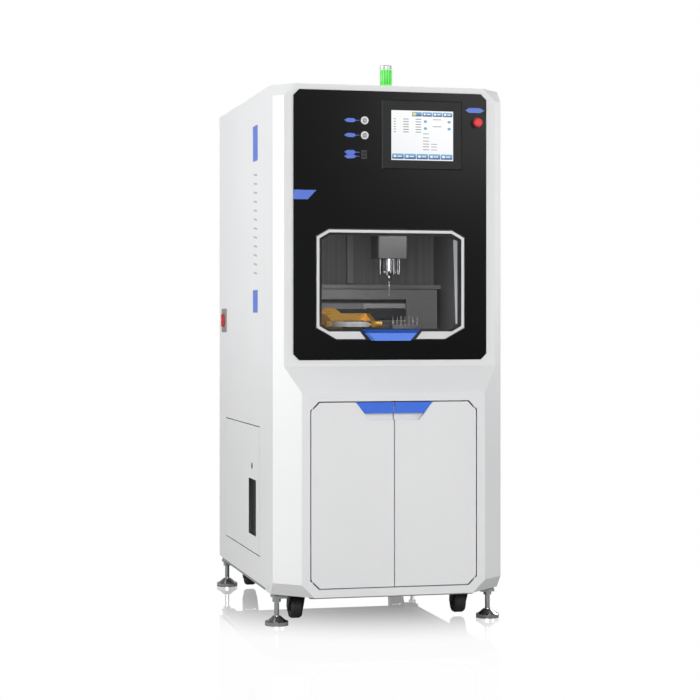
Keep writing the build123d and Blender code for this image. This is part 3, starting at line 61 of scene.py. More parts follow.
# The studio is a pale floor, which keeps the machine's soft shadow and faint reflection, and a white
# surround. Away from the machine the floor gives way to plain white. Wires join the nodes of this and of
# every material: a sum or product of wires and numbers adds its Math nodes.
class Wire:
    """One output among a material's nodes."""

    def __init__(self, tree, socket):
        self.tree = tree
        self.socket = socket

    def node(self, kind, settings=None, sockets=None, out=0):
        """Adds a node of a type, makes its settings, then gives its sockets values or wires."""
        made = self.tree.nodes.new(kind)
        for name, value in (settings or {}).items():
            setattr(made, name, value)
        for name, value in (sockets or {}).items():
            if isinstance(value, Wire):
                self.tree.links.new(value.socket, made.inputs[name])
            else:
                is_colour = made.inputs[name].type == "RGBA"
                made.inputs[name].default_value = (*value, 1) if is_colour else value
        return Wire(self.tree, made.outputs[out])

    def maths(self, operation, *values):
        """A Math node on these values, which may be wires or numbers."""
        return self.node("ShaderNodeMath", {"operation": operation}, dict(enumerate(values)))

    def __add__(self, other):
        return self.maths("ADD", self, other)

    def __radd__(self, other):
        return self.maths("ADD", other, self)

    def __sub__(self, other):
        return self.maths("SUBTRACT", self, other)

    def __rsub__(self, other):
        return self.maths("SUBTRACT", other, self)

    def __mul__(self, other):
        return self.maths("MULTIPLY", self, other)

    def __rmul__(self, other):
        return self.maths("MULTIPLY", other, self)

    def axis(self, name):
        """X, Y or Z of a place."""
        return self.node("ShaderNodeSeparateXYZ", None, {0: self}, out="XYZ".index(name))

    def ramp(self, low, high):
        """0 below the low value and 1 above the high one, smooth between."""
        limits = {0: self, 1: low, 2: high}
        return self.node("ShaderNodeMapRange", {"interpolation_type": "SMOOTHSTEP"}, limits)

    def tint(self, first, last):
        """The colour that runs from the first to the last as this goes from 0 to 1."""
        return self.node("ShaderNodeMix", {"data_type": "RGBA"}, {0: self, 6: first, 7: last}, out=2)

    def noise(self, per_metre, stretch=(1, 1, 1), detail=3.0):
        """Clouds at this place, so many to the metre, drawn out where the stretch is under 1."""
        place = self.node("ShaderNodeMapping", None, {"Vector": self, "Scale": stretch})
        clouds = {"Vector": place, "Scale": per_metre, "Detail": detail}
        return place.node("ShaderNodeTexNoise", None, clouds)

    def bump(self, strength, depth):
        """A relief of this height, for the Normal socket."""
        relief = {"Height": self, "Strength": strength, "Distance": depth}
        return self.node("ShaderNodeBump", None, relief)

    def close(self, kind="ShaderNodeOutputMaterial"):
        """Joins this shader to the surface of the output."""
        self.tree.links.new(self.socket, self.tree.nodes.new(kind).inputs["Surface"])


def start_tree(owner):
    """The owner's nodes, emptied, as a wire to start from."""
    owner.use_nodes = True
    owner.node_tree.nodes.clear()
    return Wire(owner.node_tree, None)


def finish_coat(name, paint, **constants):
    """A material whose paint function gives the varying sockets from the object's own coordinates."""
    material = bpy.data.materials.new(name)
    start = start_tree(material)
    place = start.node("ShaderNodeTexCoord", out=3)
    start.node("ShaderNodeBsdfPrincipled", None, {**constants, **paint(place)}).close()
    return material


FLOOR_REACH = 30.0
SHADOW_SPOT = (0.12, 0.2, 0)
MIRROR_NEAR, MIRROR_FAR = 0.2, 1.1
WHITE_NEAR, WHITE_GROWTH = 0.27, 0.7
world = bpy.data.worlds.new("studio")
bpy.context.scene.world = world
sky = start_tree(world)
camera_ray, mirror_ray, glass_ray = (sky.node("ShaderNodeLightPath", out=k) for k in (0, 4, 6))
seen = sky.node("ShaderNodeClamp", None, {0: camera_ray + mirror_ray + glass_ray})
height = sky.node("ShaderNodeTexCoord").axis("Z")
walls = height.ramp(0.1, 0.8).tint((0.96, 0.98, 1.0), (0.35, 0.36, 0.37))
room = sky.node("ShaderNodeBackground", None, {"Color": walls, "Strength": 0.38})
backdrop = sky.node("ShaderNodeBackground", None, {"Color": (1, 1, 1), "Strength": 1.0})
sky.node("ShaderNodeMixShader", None, {0: seen, 1: room, 2: backdrop}).close("ShaderNodeOutputWorld")

floor_paint = bpy.data.materials.new("studio_floor")
start = start_tree(floor_paint)
place = start.node("ShaderNodeTexCoord", out=3)
away = place.node("ShaderNodeVectorMath", {"operation": "DISTANCE"}, {0: place, 1: SHADOW_SPOT}, out=1)
polish = {"Base Color": (1, 1, 1), "Metallic": 1.0, "Roughness": 0.0}
mirror = start.node("ShaderNodeBsdfPrincipled", None, polish)
plain = start.node("ShaderNodeEmission", None, {"Color": (1, 1, 1), "Strength": 1.0})
whiteness = away.ramp(MIRROR_NEAR, MIRROR_FAR) * WHITE_GROWTH + WHITE_NEAR
shown = start.node("ShaderNodeMixShader", None, {0: whiteness, 1: mirror, 2: plain})
dull = start.node("ShaderNodeBsdfDiffuse", None, {"Color": (0.42, 0.42, 0.42)})
camera_ray = start.node("ShaderNodeLightPath", out=0)
start.node("ShaderNodeMixShader", None, {0: camera_ray, 1: dull, 2: shown}).close()
floor_mesh = bpy.data.meshes.new("floor")
floor_corners = [(x * FLOOR_REACH, y * FLOOR_REACH, 0) for x, y in ((-1, -1), (1, -1), (1, 1), (-1, 1))]
floor_mesh.from_pydata(floor_corners, [], [(0, 1, 2, 3)])
floor_mesh.materials.append(floor_paint)
floor = bpy.data.objects.new("floor", floor_mesh)
bpy.context.scene.collection.objects.link(floor)


def soft_box(name, place, aim, size, watts):
    """A soft light box at a place, turned to face the point it aims at."""
    data = bpy.data.lights.new(name, "AREA")
    data.shape = "RECTANGLE"
    data.size, data.size_y = size
    data.energy = watts
    way = np.subtract(aim, place)
    light = bpy.data.objects.new(name, data)
    light.location = place
    tilt = math.atan2(math.hypot(way[0], way[1]), -way[2])
    light.rotation_euler = (tilt, 0, math.atan2(-way[0], way[1]))
    bpy.context.scene.collection.objects.link(light)


soft_box("key", (-3.4, -0.3, 2.0), (-0.3, 0, 1.3), (1.8, 1.8), 90)
soft_box("fill", (-1.8, -6.4, 1.5), (0, 0, 1.2), (2.6, 2.4), 172)
soft_box("overhead", (0, 0.2, 4.6), (0, 0, 0), (3.6, 3.6), 12)
soft_box("rim", (4.0, 1.8, 2.3), (0, 0, 1.0), (2.0, 3.0), 80)
soft_box("side", (3.6, -4.0, 1.4), (0.3, 0, 1.0), (2.0, 2.4), 42)
soft_box("sheen", (2.9, -6.3, 2.9), (0.3, -0.5, 1.6), (2.6, 1.8), 50)
soft_box("chamber", (0.02, -0.45, 1.29), (-0.03, -0.22, 1.0), (0.42, 0.04), 1.05)


# The cabinet's outer sheets are folded steel, sprayed and baked in a white satin powder coat.
# Its fine peel shows in the highlights only.
def sprayed(first, last, rough, clouds=3.0, peel=1200.0, relief=0.06):
    """Sprayed or moulded skin: faint clouds of colour, uneven gloss, a fine peel."""
    def paint(place):
        broad = place.noise(clouds, detail=2.0)
        return {
            "Base Color": broad.tint(first, last),
            "Roughness": broad * 0.08 + (rough - 0.04),
            "Normal": place.noise(peel, detail=2.0).bump(relief, 0.0004),
        }
    return paint


def dress(material, *names):
    """The material goes into every slot of these CAD nodes."""
    for name in names:
        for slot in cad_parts[name].material_slots:
            slot.material = material


white_coat = finish_coat("white_powder_coat", sprayed((0.77, 0.77, 0.775), (0.81, 0.81, 0.812), 0.36))
dress(white_coat, "front_fascia", "side_panel_left", "side_panel_right", "rear_panel", "top_panel")
dress(white_coat, "door_left", "door_right", "service_cover")

# The operator panel is a sheet of black acrylic, laser-cut round the screen and the window, polished,
# and bonded to the white cap.
panel_black = sprayed((0.0022, 0.0023, 0.0026), (0.0034, 0.0035, 0.004), 0.2, 2.0, 60.0, 0.01)
black_acrylic = finish_coat("black_acrylic", panel_black, **{"Specular IOR Level": 0.2})
dress(black_acrylic, "front_panel")

# Frames are welded square tube in a light grey textured coat. The storage bay is lined with bright
# galvanised sheet, whose zinc has crystallised in flat flakes.
frame_grey = sprayed((0.27, 0.28, 0.29), (0.31, 0.32, 0.33), 0.5, 6.0, 700.0, 0.25)
grey_coat = finish_coat("grey_texture_coat", frame_grey)
dress(grey_coat, "base_frame", "upper_frame")


def zinc_flakes(place):
    """Spangle: each flake takes its own shade and gloss."""
    flake = place.node("ShaderNodeTexVoronoi", None, {"Vector": place, "Scale": 70.0}, out=1)
    shade = flake.node("ShaderNodeSeparateColor", None, {0: flake})
    return {
        "Base Color": shade.tint((0.46, 0.48, 0.50), (0.60, 0.62, 0.64)),
        "Roughness": shade * 0.2 + 0.3,
        "Normal": place.noise(300.0).bump(0.05, 0.0005),
    }


galvanised = finish_coat("galvanised_sheet", zinc_flakes, Metallic=0.9)
dress(galvanised, "cabinet_liner")

# The pulls and the window's handle are cast acrylic in a bright signal blue, with a polished face. The
# handle's upper bevel is painted a deeper blue, as painted shade where it faces away from the light.
pull_blue = sprayed((0.055, 0.16, 0.72), (0.075, 0.20, 0.80), 0.2, 8.0, 200.0, 0.02)
dress(finish_coat("blue_acrylic", pull_blue), "door_pull_left", "door_pull_right")
SHADE_HEIGHT, SHADE_EDGE = 0.0115, 0.0004
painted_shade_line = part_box("window_handle")[1][2] - SHADE_HEIGHT


def handle_blue_painted_shade(place):
    """Bright blue below and a deeper blue above, painted shade on the upper face, meeting in a sharp line."""
    # Painted shade: above this line the handle's top is painted a deeper blue.
    painted_shade = place.axis("Z").ramp(painted_shade_line - SHADE_EDGE, painted_shade_line + SHADE_EDGE)
    return {"Base Color": painted_shade.tint((0.12, 0.26, 0.86), (0.004, 0.075, 0.42)),
            "Roughness": place.noise(8.0) * 0.08 + 0.2}


dress(finish_coat("handle_blue_painted_shade", handle_blue_painted_shade), "window_handle")

# The window's frame is a black satin moulding, its pane a smoke-tinted safety sheet, and a bright white
# trim with black edges runs round it.
frame_black = finish_coat("window_black", sprayed((0.012, 0.012, 0.013), (0.018, 0.018, 0.019), 0.35))
dress(frame_black, "window_frame", "hinges")
TRIM_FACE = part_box("window_trim")[0][1]


def edged_white(place):
    """White on the face and black on the edges, which stand behind it."""
    edge = place.axis("Y").ramp(TRIM_FACE + 0.0002, TRIM_FACE + 0.0005)
    return {"Base Color": edge.tint((0.70, 0.70, 0.705), (0.012, 0.012, 0.012)),
            "Roughness": place.noise(5.0) * 0.08 + 0.28}


dress(finish_coat("white_film", edged_white), "window_trim")
DUST_BELOW, DUST_ABOVE = 0.94, 1.12


def smoked(place):
    """A grey tint with a breath of dust, thicker low down where the milling dust settles."""
    dust = place.noise(25.0, detail=5.0) * (1 - place.axis("Z").ramp(DUST_BELOW, DUST_ABOVE))
    return {
        "Base Color": dust.tint((0.012, 0.013, 0.015), (0.10, 0.10, 0.10)),
        "Roughness": dust * 0.15 + 0.03,
        "Alpha": dust * 0.05 + 0.15,
    }


dress(finish_coat("smoked_pane", smoked), "window_glass")


# The operator's screen stands in a moulded dark grey bezel. Its picture is only ruled blocks and rows, with
# no words, all lit from behind.
def lit(name, first, last, low, high, strength=0.9):
    """A backlit print: its light runs from the first to the last colour between two heights."""
    def paint(place):
        shade = place.axis("Z").ramp(low, high)
        return {"Emission Color": shade.tint(first, last), "Roughness": place.noise(80.0) * 0.1 + 0.1}
    return finish_coat(name, paint, **{"Base Color": (0.01, 0.01, 0.01), "Emission Strength": strength})


bezel_grey = sprayed((0.005, 0.0055, 0.006), (0.007, 0.0075, 0.008), 0.36, 10.0, 900.0, 0.1)
dress(finish_coat("bezel_plastic", bezel_grey, **{"Specular IOR Level": 0.3}), "hmi_bezel")
screen_low, screen_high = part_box("hmi_screen")


def screen_light(name, first, last):
    """A print that is lit over the whole height of the screen."""
    return lit(name, first, last, screen_low[2], screen_high[2])


dress(screen_light("screen_white", (0.93, 0.95, 0.98), (1.0, 1.0, 1.0)), "hmi_screen")
SHARP_EDGE = math.radians(35)


def skin(name, shells, body, material, closed=True):
    """A piece of one or more shells. In a shell, row i and column j hold one point of its surface, and
    the columns close in a ring unless told not to. Points that double, such as a pole's, are merged."""
    points, faces, first = [], [], 0
    for shell in shells:
        rows, columns, _ = shell.shape
        spans = columns if closed else columns - 1
        i, j = np.meshgrid(np.arange(rows - 1), np.arange(spans), indexing="ij")
        after = (j + 1) % columns
        below, above = i * columns, (i + 1) * columns
        quads = np.stack((below + j, below + after, above + after, above + j), -1)
        faces.append(quads.reshape(-1, 4) + first)
        points.append(shell.reshape(-1, 3))
        first += rows * columns
    mesh = bpy.data.meshes.new(name)
    mesh.from_pydata(np.concatenate(points).tolist(), [], np.concatenate(faces).tolist())
    shape = bmesh.new()
    shape.from_mesh(mesh)
    bmesh.ops.remove_doubles(shape, verts=shape.verts, dist=1e-6)
    bmesh.ops.dissolve_degenerate(shape, edges=shape.edges, dist=1e-7)
    bmesh.ops.recalc_face_normals(shape, faces=shape.faces)
    for edge in shape.edges:
        edge.smooth = edge.calc_face_angle(0) < SHARP_EDGE
    for face in shape.faces:
        face.smooth = True
    shape.to_mesh(mesh)
    shape.free()
    piece = bpy.data.objects.new(name, mesh)
    bpy.context.scene.collection.objects.link(piece)
    mesh.materials.append(material)
    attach(piece, body)
    return piece


def slab(outline, front, back):
    """A flat piece in the XZ plane: the outline shrinks to its middle on both faces, and runs straight
    from the front to the back."""
    outline = np.asarray(outline, float)
    middle = outline.mean(0)
    rows = []
    for share, y in ((0, front), (1, front), (1, back), (0, back)):
        flat = middle + (outline - middle) * share
        rows.append(np.stack((flat[:, 0], np.full(len(flat), y), flat[:, 1]), -1))
    return np.array(rows)


QUARTER = math.pi / 2
CORNER_STEPS = 5


def round_box(x0, x1, z0, z1, radius):
    """The outline of a rectangle with rounded corners: a quarter circle about each corner's centre."""
    def corner(x, z, quarter):
        turn = np.linspace(0, QUARTER, CORNER_STEPS) + quarter * QUARTER
        return np.stack((x + radius * np.cos(turn), z + radius * np.sin(turn)), -1)

    left, right, low, high = x0 + radius, x1 - radius, z0 + radius, z1 - radius
    return np.concatenate((corner(right, high, 0), corner(left, high, 1),
                           corner(left, low, 2), corner(right, low, 3)))


def disc(x, z, radius, steps=24):
    """A circle's outline: the centre plus the radius times the turn's cosine and sine."""
    turn = np.linspace(0, 2 * math.pi, steps, endpoint=False)
    return np.stack((x + radius * np.cos(turn), z + radius * np.sin(turn)), -1)


SCREEN_W = screen_high[0] - screen_low[0]
SCREEN_H = screen_high[2] - screen_low[2]
FILM = 0.0003


def on_screen(outlines, lift=1):
    """Slabs on the screen's face. Each outline is in shares of its width and height, from its lower
    left, and the lift counts the films that it stands on."""
    face = screen_low[1]
    size = np.array((SCREEN_W, SCREEN_H))
    corner = np.array((screen_low[0], screen_low[2]))
    return [slab(corner + outline * size, face - FILM * lift, face + FILM) for outline in outlines]


KEYS_END = 0.992
KEY_GAP = 0.008
KEY_RADIUS = 0.012
LOW_KEYS, TOP_KEYS = (0.022, 0.13), (0.885, 0.975)
BAR_RADIUS = 0.004


def key_row(first, count, low, high):
    """Key outlines side by side, up to the screen's right edge, between two shares of its height."""
    step = (KEYS_END - first) / count
    return [round_box(first + k * step + KEY_GAP / 2, first + (k + 1) * step - KEY_GAP / 2, low, high,
                      KEY_RADIUS) for k in range(count)]


def bar_rows(columns, heights, thick):
    """Printed bars: at each height, one for each column's left end and width."""
    return [round_box(x, x + width, z, z + thick, BAR_RADIUS) for z in heights for x, width in columns]


for name, first, count, (low, high) in (("low", 0.008, 5, LOW_KEYS), ("top", 0.33, 4, TOP_KEYS)):
    key_light = lit("key_blue_" + name, (0.01, 0.09, 0.30), (0.20, 0.45, 0.68),
                    screen_low[2] + SCREEN_H * low, screen_low[2] + SCREEN_H * high)
    keys = on_screen(key_row(first, count, low, high))
    skin("screen_keys_" + name, keys, "cabinet", key_light)

# All that stands on the screen is placed in shares of its width and height: the ruled list at the left, two
# columns of values, two headings with their dials at the right, and pale marks on the keys.
bars = bar_rows(((0.04, 0.03), (0.19, 0.09), (0.39, 0.09)), np.linspace(0.56, 0.82, 6), 0.016)
bars += bar_rows(((0.51, 0.10),), (0.21, 0.27, 0.325, 0.385, 0.45, 0.53), 0.014)
bars += bar_rows(((0.64, 0.10),), (0.21, 0.27, 0.325), 0.012)
bars += bar_rows(((0.67, 0.14),), (0.68, 0.82), 0.014)
grey_light = screen_light("screen_grey", (0.16, 0.17, 0.19), (0.20, 0.21, 0.23))
skin("screen_rows", on_screen(bars), "cabinet", grey_light)
dials = [disc(x, z, 0.028) for x in (0.55, 0.935) for z in (0.645, 0.785)]
cyan_light = screen_light("screen_cyan", (0.05, 0.22, 0.38), (0.12, 0.45, 0.66))
skin("screen_dials", on_screen(dials), "cabinet", cyan_light)
LOW_PITCH, TOP_PITCH = 0.1968, 0.165
marks = [disc(0.058 + LOW_PITCH * k, 0.076, 0.024, 6 + 3 * k) for k in range(5)]
marks += bar_rows([(0.096 + LOW_PITCH * k, 0.07) for k in range(5)], (0.066,), 0.02)
marks += [disc(0.54 + TOP_PITCH * k, 0.93, 0.02, 4 + 3 * k) for k in range(3)]
marks += bar_rows([(0.575 + TOP_PITCH * k, 0.055) for k in range(3)], (0.922,), 0.016)
pale_light = screen_light("screen_pale", (0.9, 0.93, 0.97), (1, 1, 1))
skin("screen_marks", on_screen(marks, 2), "cabinet", pale_light)
yellow_light = screen_light("screen_yellow", (0.65, 0.72, 0.10), (0.75, 0.8, 0.15))
skin("screen_lamp", on_screen([disc(0.372, 0.93, 0.03)], 2), "cabinet", yellow_light)

# The blue signs beside the buttons and over the emergency stop are printed on film: bare lozenges with a thin
# pointer. A broad slanted flash of the same blue stands at the panel's left edge.
PANEL_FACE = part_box("front_panel")[0][1]
film_blue = sprayed((0.085, 0.17, 0.64), (0.11, 0.20, 0.70), 0.3, 6.0, 300.0, 0.02)
blue_film = finish_coat("blue_film", film_blue)


def lozenge(left, right, z, half, slope):
    """A flat sign with pointed ends: its tips lie at mid height, a slope's length past its long edges."""
    return np.array(((left, z), (left + slope, z - half), (right - slope, z - half), (right, z),
                     (right - slope, z + half), (left + slope, z + half)))


BUTTON_ROWS = (1.6304, 1.5824)
SOCKET_ROWS = (1.5278, 1.5142)
SIGN_LEFT, SIGN_RIGHT, POINTER_LEFT, POINTER_END = -0.156, -0.114, -0.117, -0.105
SIGN_HALF, SIGN_SLOPE = 0.0065, 0.011
POINTER_HALF, POINTER_SLOPE = 0.0009, 0.001
STOP_SIGN = (0.250, 0.315, 1.672, 0.008, 0.014)
FLASH = ((-0.3218, 1.3737), (-0.275, 1.3737), (-0.247, 1.404), (-0.3218, 1.404))


def on_panel(outline):
    """A film on the panel's face."""
    return slab(outline, PANEL_FACE - FILM, PANEL_FACE + FILM)


sign_rows = BUTTON_ROWS + SOCKET_ROWS
signs = [lozenge(SIGN_LEFT, SIGN_RIGHT, z, SIGN_HALF, SIGN_SLOPE) for z in sign_rows]
signs += [lozenge(POINTER_LEFT, POINTER_END, z, POINTER_HALF, POINTER_SLOPE) for z in sign_rows]
signs.append(lozenge(*STOP_SIGN))
skin("panel_signs", [on_panel(sign) for sign in signs], "cabinet", blue_film)
skin("panel_flash", [on_panel(FLASH)], "cabinet", blue_film)


# The press buttons and their collars are turned metal, ringed by the tool, and screwed through the panel.
# The data socket under them is black nylon. The emergency stop is a red moulded mushroom.
RINGS_PER_METRE = 9000.0
GROOVE_IN, GROOVE_OUT, GROOVE_EDGE = 0.0052, 0.0058, 0.0006


def from_axis(place, location, scale):
    """The distance from an axis, which the scale leaves out and the location brings to the middle."""
    flat = place.node("ShaderNodeMapping", None, {"Vector": place, "Location": location, "Scale": scale})
    return flat.node("ShaderNodeVectorMath", {"operation": "LENGTH"}, {0: flat}, out=1)


def turned(centre_x, centre_z, first, last, rough):
    """Lathe rings round an axis along Y: the gloss and the skin vary with the distance from it, and a
    groove's shade is painted as a dark ring.
    """
    def paint(place):
        away = from_axis(place, (-centre_x, 0, -centre_z), (1, 0, 1))
        rings = place.maths("SINE", away * RINGS_PER_METRE)
        # Painted shade: a dark ring stands for the shade in a groove of the button's face.
        groove_shade = (away.ramp(GROOVE_IN - GROOVE_EDGE, GROOVE_IN)
                  - away.ramp(GROOVE_OUT, GROOVE_OUT + GROOVE_EDGE))
        return {
            "Base Color": (place.noise(260.0) * 0.7 + groove_shade * 0.5).tint(first, last),
            "Roughness": rings * 0.05 + rough,
            "Normal": rings.bump(0.05, 0.0002),
        }
    return paint


BUTTON_X = -0.088
for name, height in zip(("button_upper", "button_lower"), BUTTON_ROWS):
    steel = turned(BUTTON_X, height, (0.56, 0.56, 0.57), (0.06, 0.06, 0.065), 0.3)
    dress(finish_coat(name + "_steel", steel, Metallic=0.85), name)
STOP_SIDE, SOCKET_TOP = 0.10, 1.550
SEAM = 0.001


def fittings(place):
    """Nickel round the buttons; black nylon at the emergency stop and at the data socket."""
    left = 1 - place.axis("X").ramp(STOP_SIDE, STOP_SIDE + SEAM)
    bright = left * place.axis("Z").ramp(SOCKET_TOP, SOCKET_TOP + SEAM)
    return {"Base Color": bright.tint((0.03, 0.03, 0.032), (0.66, 0.66, 0.67)), "Metallic": bright * 0.9,
            "Roughness": place.noise(40.0) * 0.1 + 0.25}


dress(finish_coat("panel_fittings", fittings), "panel_fittings")
stop_red = sprayed((0.72, 0.02, 0.02), (0.80, 0.03, 0.028), 0.28, 12.0, 500.0, 0.03)
dress(finish_coat("stop_red", stop_red), "estop_head")

# The left side carries two blue blocks of printed film, and between them a row of plain grey bars. Below
# stand the isolator, with its red turning handle, and the service cover's black quarter-turn latch.
SIDE_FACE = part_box("side_panel_left")[0][0]
STRIP_FRONT, STRIP_BACK = -0.2215, -0.1355
BLUE_BLOCKS = ((1.013, 1.089), (1.522, 1.641))
BAR_FRONT, BAR_BACK = STRIP_FRONT + 0.012, STRIP_BACK - 0.014
BAR_HEIGHT, BAR_SLANT = 0.011, 0.005
BAR_PLACES = np.linspace(1.14, 1.47, 12)
film_grey = sprayed((0.40, 0.41, 0.43), (0.44, 0.45, 0.47), 0.35, 5.0, 300.0, 0.02)
grey_film = finish_coat("grey_film", film_grey)


def strip(front, back, low, high, slant=0):
    """One block of the film, whose upper and lower ends may be cut on a slant."""
    outline = ((front, low), (back, low + slant), (back, high), (front, high - slant))
    return slab(outline, SIDE_FACE - FILM, SIDE_FACE + FILM)[..., (1, 0, 2)]


blocks = [strip(STRIP_FRONT, STRIP_BACK, low, high) for low, high in BLUE_BLOCKS]
skin("side_film_blue", blocks, "cabinet", blue_film)
bars = [strip(BAR_FRONT, BAR_BACK, z, z + BAR_HEIGHT, BAR_SLANT) for z in BAR_PLACES]
skin("side_film_grey", bars, "cabinet", grey_film)


def moulded(first, last, rough, relief):
    """Textured plastic, as isolators, latches and fans are moulded in."""
    return sprayed(first, last, rough, 20.0, 900.0, relief)


isolator_grey = moulded((0.22, 0.22, 0.21), (0.27, 0.27, 0.26), 0.45, 0.15)
dress(finish_coat("isolator_grey", isolator_grey), "isolator_plate")
handle_red = moulded((0.40, 0.012, 0.012), (0.50, 0.02, 0.018), 0.4, 0.1)
dress(finish_coat("handle_red", handle_red), "isolator_handle")
black_nylon = finish_coat("black_nylon", moulded((0.014, 0.014, 0.015), (0.022, 0.022, 0.023), 0.45, 0.25))
dress(black_nylon, "cover_latch", "rear_fittings", "fan_rotor")

# A lip of black rubber is pressed on the window's edge and closes the gap beside and under it. The rear
# sheet is held by black pan-head screws down both of its sides.
LIP_HALF = ((0.181, 0.9265), (0.246, 0.963), (0.246, 1.245))
LIP_PATH = np.array([(-x, z) for x, z in reversed(LIP_HALF)] + list(LIP_HALF))
LIP_IN, LIP_OUT = -0.0002, 0.0032
LIP_FRONT, LIP_BACK = -0.509, -0.5055


def beside(path, reach):
    """The path moved to its right by a reach. A corner goes along the sum of its two sides' normals, over
    one plus their product, which keeps it sharp."""
    way = np.diff(path, axis=0)
    way = way / np.linalg.norm(way, axis=1)[:, None]
    right = np.stack((way[:, 1], -way[:, 0]), -1)
    before, after = np.vstack((right[:1], right)), np.vstack((right, right[-1:]))
    return path + reach * (before + after) / (1 + (before * after).sum(1))[:, None]


def lip_rows():
    """A square bar along the path, closed at both ends."""
    rows = []
    for reach, y in ((LIP_IN, LIP_FRONT), (LIP_OUT, LIP_FRONT), (LIP_OUT, LIP_BACK), (LIP_IN, LIP_BACK)):
        edge = beside(LIP_PATH, reach)
        rows.append(np.stack((edge[:, 0], np.full(len(edge), y), edge[:, 1]), -1))
    rows = np.array(rows + rows[:1])
    ends = [np.broadcast_to(rows[:4, k].mean(0), (5, 3))[:, None] for k in (0, -1)]
    return np.concatenate((ends[0], rows, ends[1]), axis=1)


skin("window_lip", [lip_rows()], "window", black_nylon, closed=False)
rear_low, rear_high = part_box("rear_panel")
SCREW_RADIUS, SCREW_HEIGHT = 0.0045, 0.0018
SCREW_INSET, SCREW_END = 0.010, 0.03
SCREWS_A_SIDE = 6
screws = [slab(disc(x, z, SCREW_RADIUS, 16), rear_high[1] + SCREW_HEIGHT, rear_high[1] - FILM)
          for x in (rear_low[0] + SCREW_INSET, rear_high[0] - SCREW_INSET)
          for z in np.linspace(rear_low[2] + SCREW_END, rear_high[2] - SCREW_END, SCREWS_A_SIDE)]
skin("rear_screws", screws, "cabinet", black_nylon)

# The service cover's pull is a dished liner moulded in black nylon. It is pressed into the cover's recess
# and lies behind a narrow rim. Its black is also painted shade, for the shade inside the recess.
PULL_FRONT, PULL_BACK = -0.1895, -0.0555
PULL_LOW, PULL_HIGH = 0.261, 0.450
PULL_DEPTH = 0.0145
PULL_RADIUS = 0.003
LINER_WALL, LINER_FIT = 0.001, 0.0003
DISH_SLOPE, DISH_SIDE, RIM_ROUND = 0.006, 0.005, 0.0006
cover_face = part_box("service_cover")[0][0]


def liner_ring(inset, x):
    """A rounded rectangle in the YZ plane, set in from the recess's edge."""
    ring = round_box(PULL_FRONT + inset, PULL_BACK - inset, PULL_LOW + inset, PULL_HIGH - inset,
                     PULL_RADIUS)
    return np.stack((np.full(len(ring), x), ring[:, 0], ring[:, 1]), -1)


def liner_middle(x):
    """The same count of points, all at the recess's middle, to close its floor."""
    ring = liner_ring(LINER_FIT, x)
    return np.broadcast_to(ring.mean(0), ring.shape)


inner = LINER_FIT + LINER_WALL
liner_back = cover_face + PULL_DEPTH
dish = [liner_middle(liner_back - LINER_WALL), liner_ring(inner + DISH_SLOPE, liner_back - LINER_WALL),
        liner_ring(inner, liner_back - DISH_SIDE), liner_ring(inner, cover_face + RIM_ROUND),
        liner_ring(LINER_FIT, cover_face), liner_ring(LINER_FIT, liner_back), liner_middle(liner_back)]
# Painted shade in part: the black liner also stands for the shade inside the pull's recess.
skin("cover_pull_liner_and_shade", [np.array(dish)], "service_cover", black_nylon)


# The milling chamber is a welded tub in a grey coat with brushed stainless guards. Behind them a bed and a
# portal of painted cast iron carry ground rails and the milled and anodised five-axis set.
def brushed(first, last, rough, grain=(1, 1, 0.02), per_metre=900.0):
    """Metal drawn or ground one way: long streaks of shade and gloss along the grain."""
    def paint(place):
        streaks = place.noise(per_metre, grain, 4.0)
        return {
            "Base Color": (streaks * 0.6 + place.noise(7.0) * 0.4).tint(first, last),
            "Roughness": streaks * 0.16 + rough - 0.08,
            "Normal": streaks.bump(0.04, 0.0003),
        }
    return paint


def casting(place):
    """Painted cast iron: the sand's grain shows through the coat in several greys."""
    grain = place.node("ShaderNodeTexVoronoi", None, {"Vector": place, "Scale": 420.0}, out=1)
    shade = grain.node("ShaderNodeSeparateColor", None, {0: grain})
    mixed = shade * 0.5 + place.noise(9.0) * 0.5
    return {
        "Base Color": mixed.tint((0.10, 0.10, 0.105), (0.19, 0.19, 0.195)),
        "Roughness": shade * 0.2 + 0.5,
        "Normal": shade.bump(0.2, 0.0004),
    }


RIB_LEFT, RIB_RIGHT, RIB_LOW = -0.0195, 0.002, 1.118


def streaked(place):
    """The tub's coat: upright streaks left by dust and the brush, and a painted highlight up the stiffener at
    its back.
    """
    across, height = place.axis("X"), place.axis("Z")
    # Painted highlight: the stiffener up the back wall is painted paler, where it catches the light.
    rib_highlight = across.ramp(RIB_LEFT - SEAM, RIB_LEFT) - across.ramp(RIB_RIGHT, RIB_RIGHT + SEAM)
    rib_highlight = rib_highlight * height.ramp(RIB_LOW, RIB_LOW + SEAM)
    streaks_and_highlight = place.noise(110.0, (1, 1, 0.01)) * 0.8 + rib_highlight * 0.9
    return {"Base Color": streaks_and_highlight.tint((0.10, 0.10, 0.101), (0.22, 0.22, 0.222)),
            "Roughness": place.noise(5.0) * 0.1 + 0.45,
            "Normal": place.noise(700.0).bump(0.15, 0.0004)}


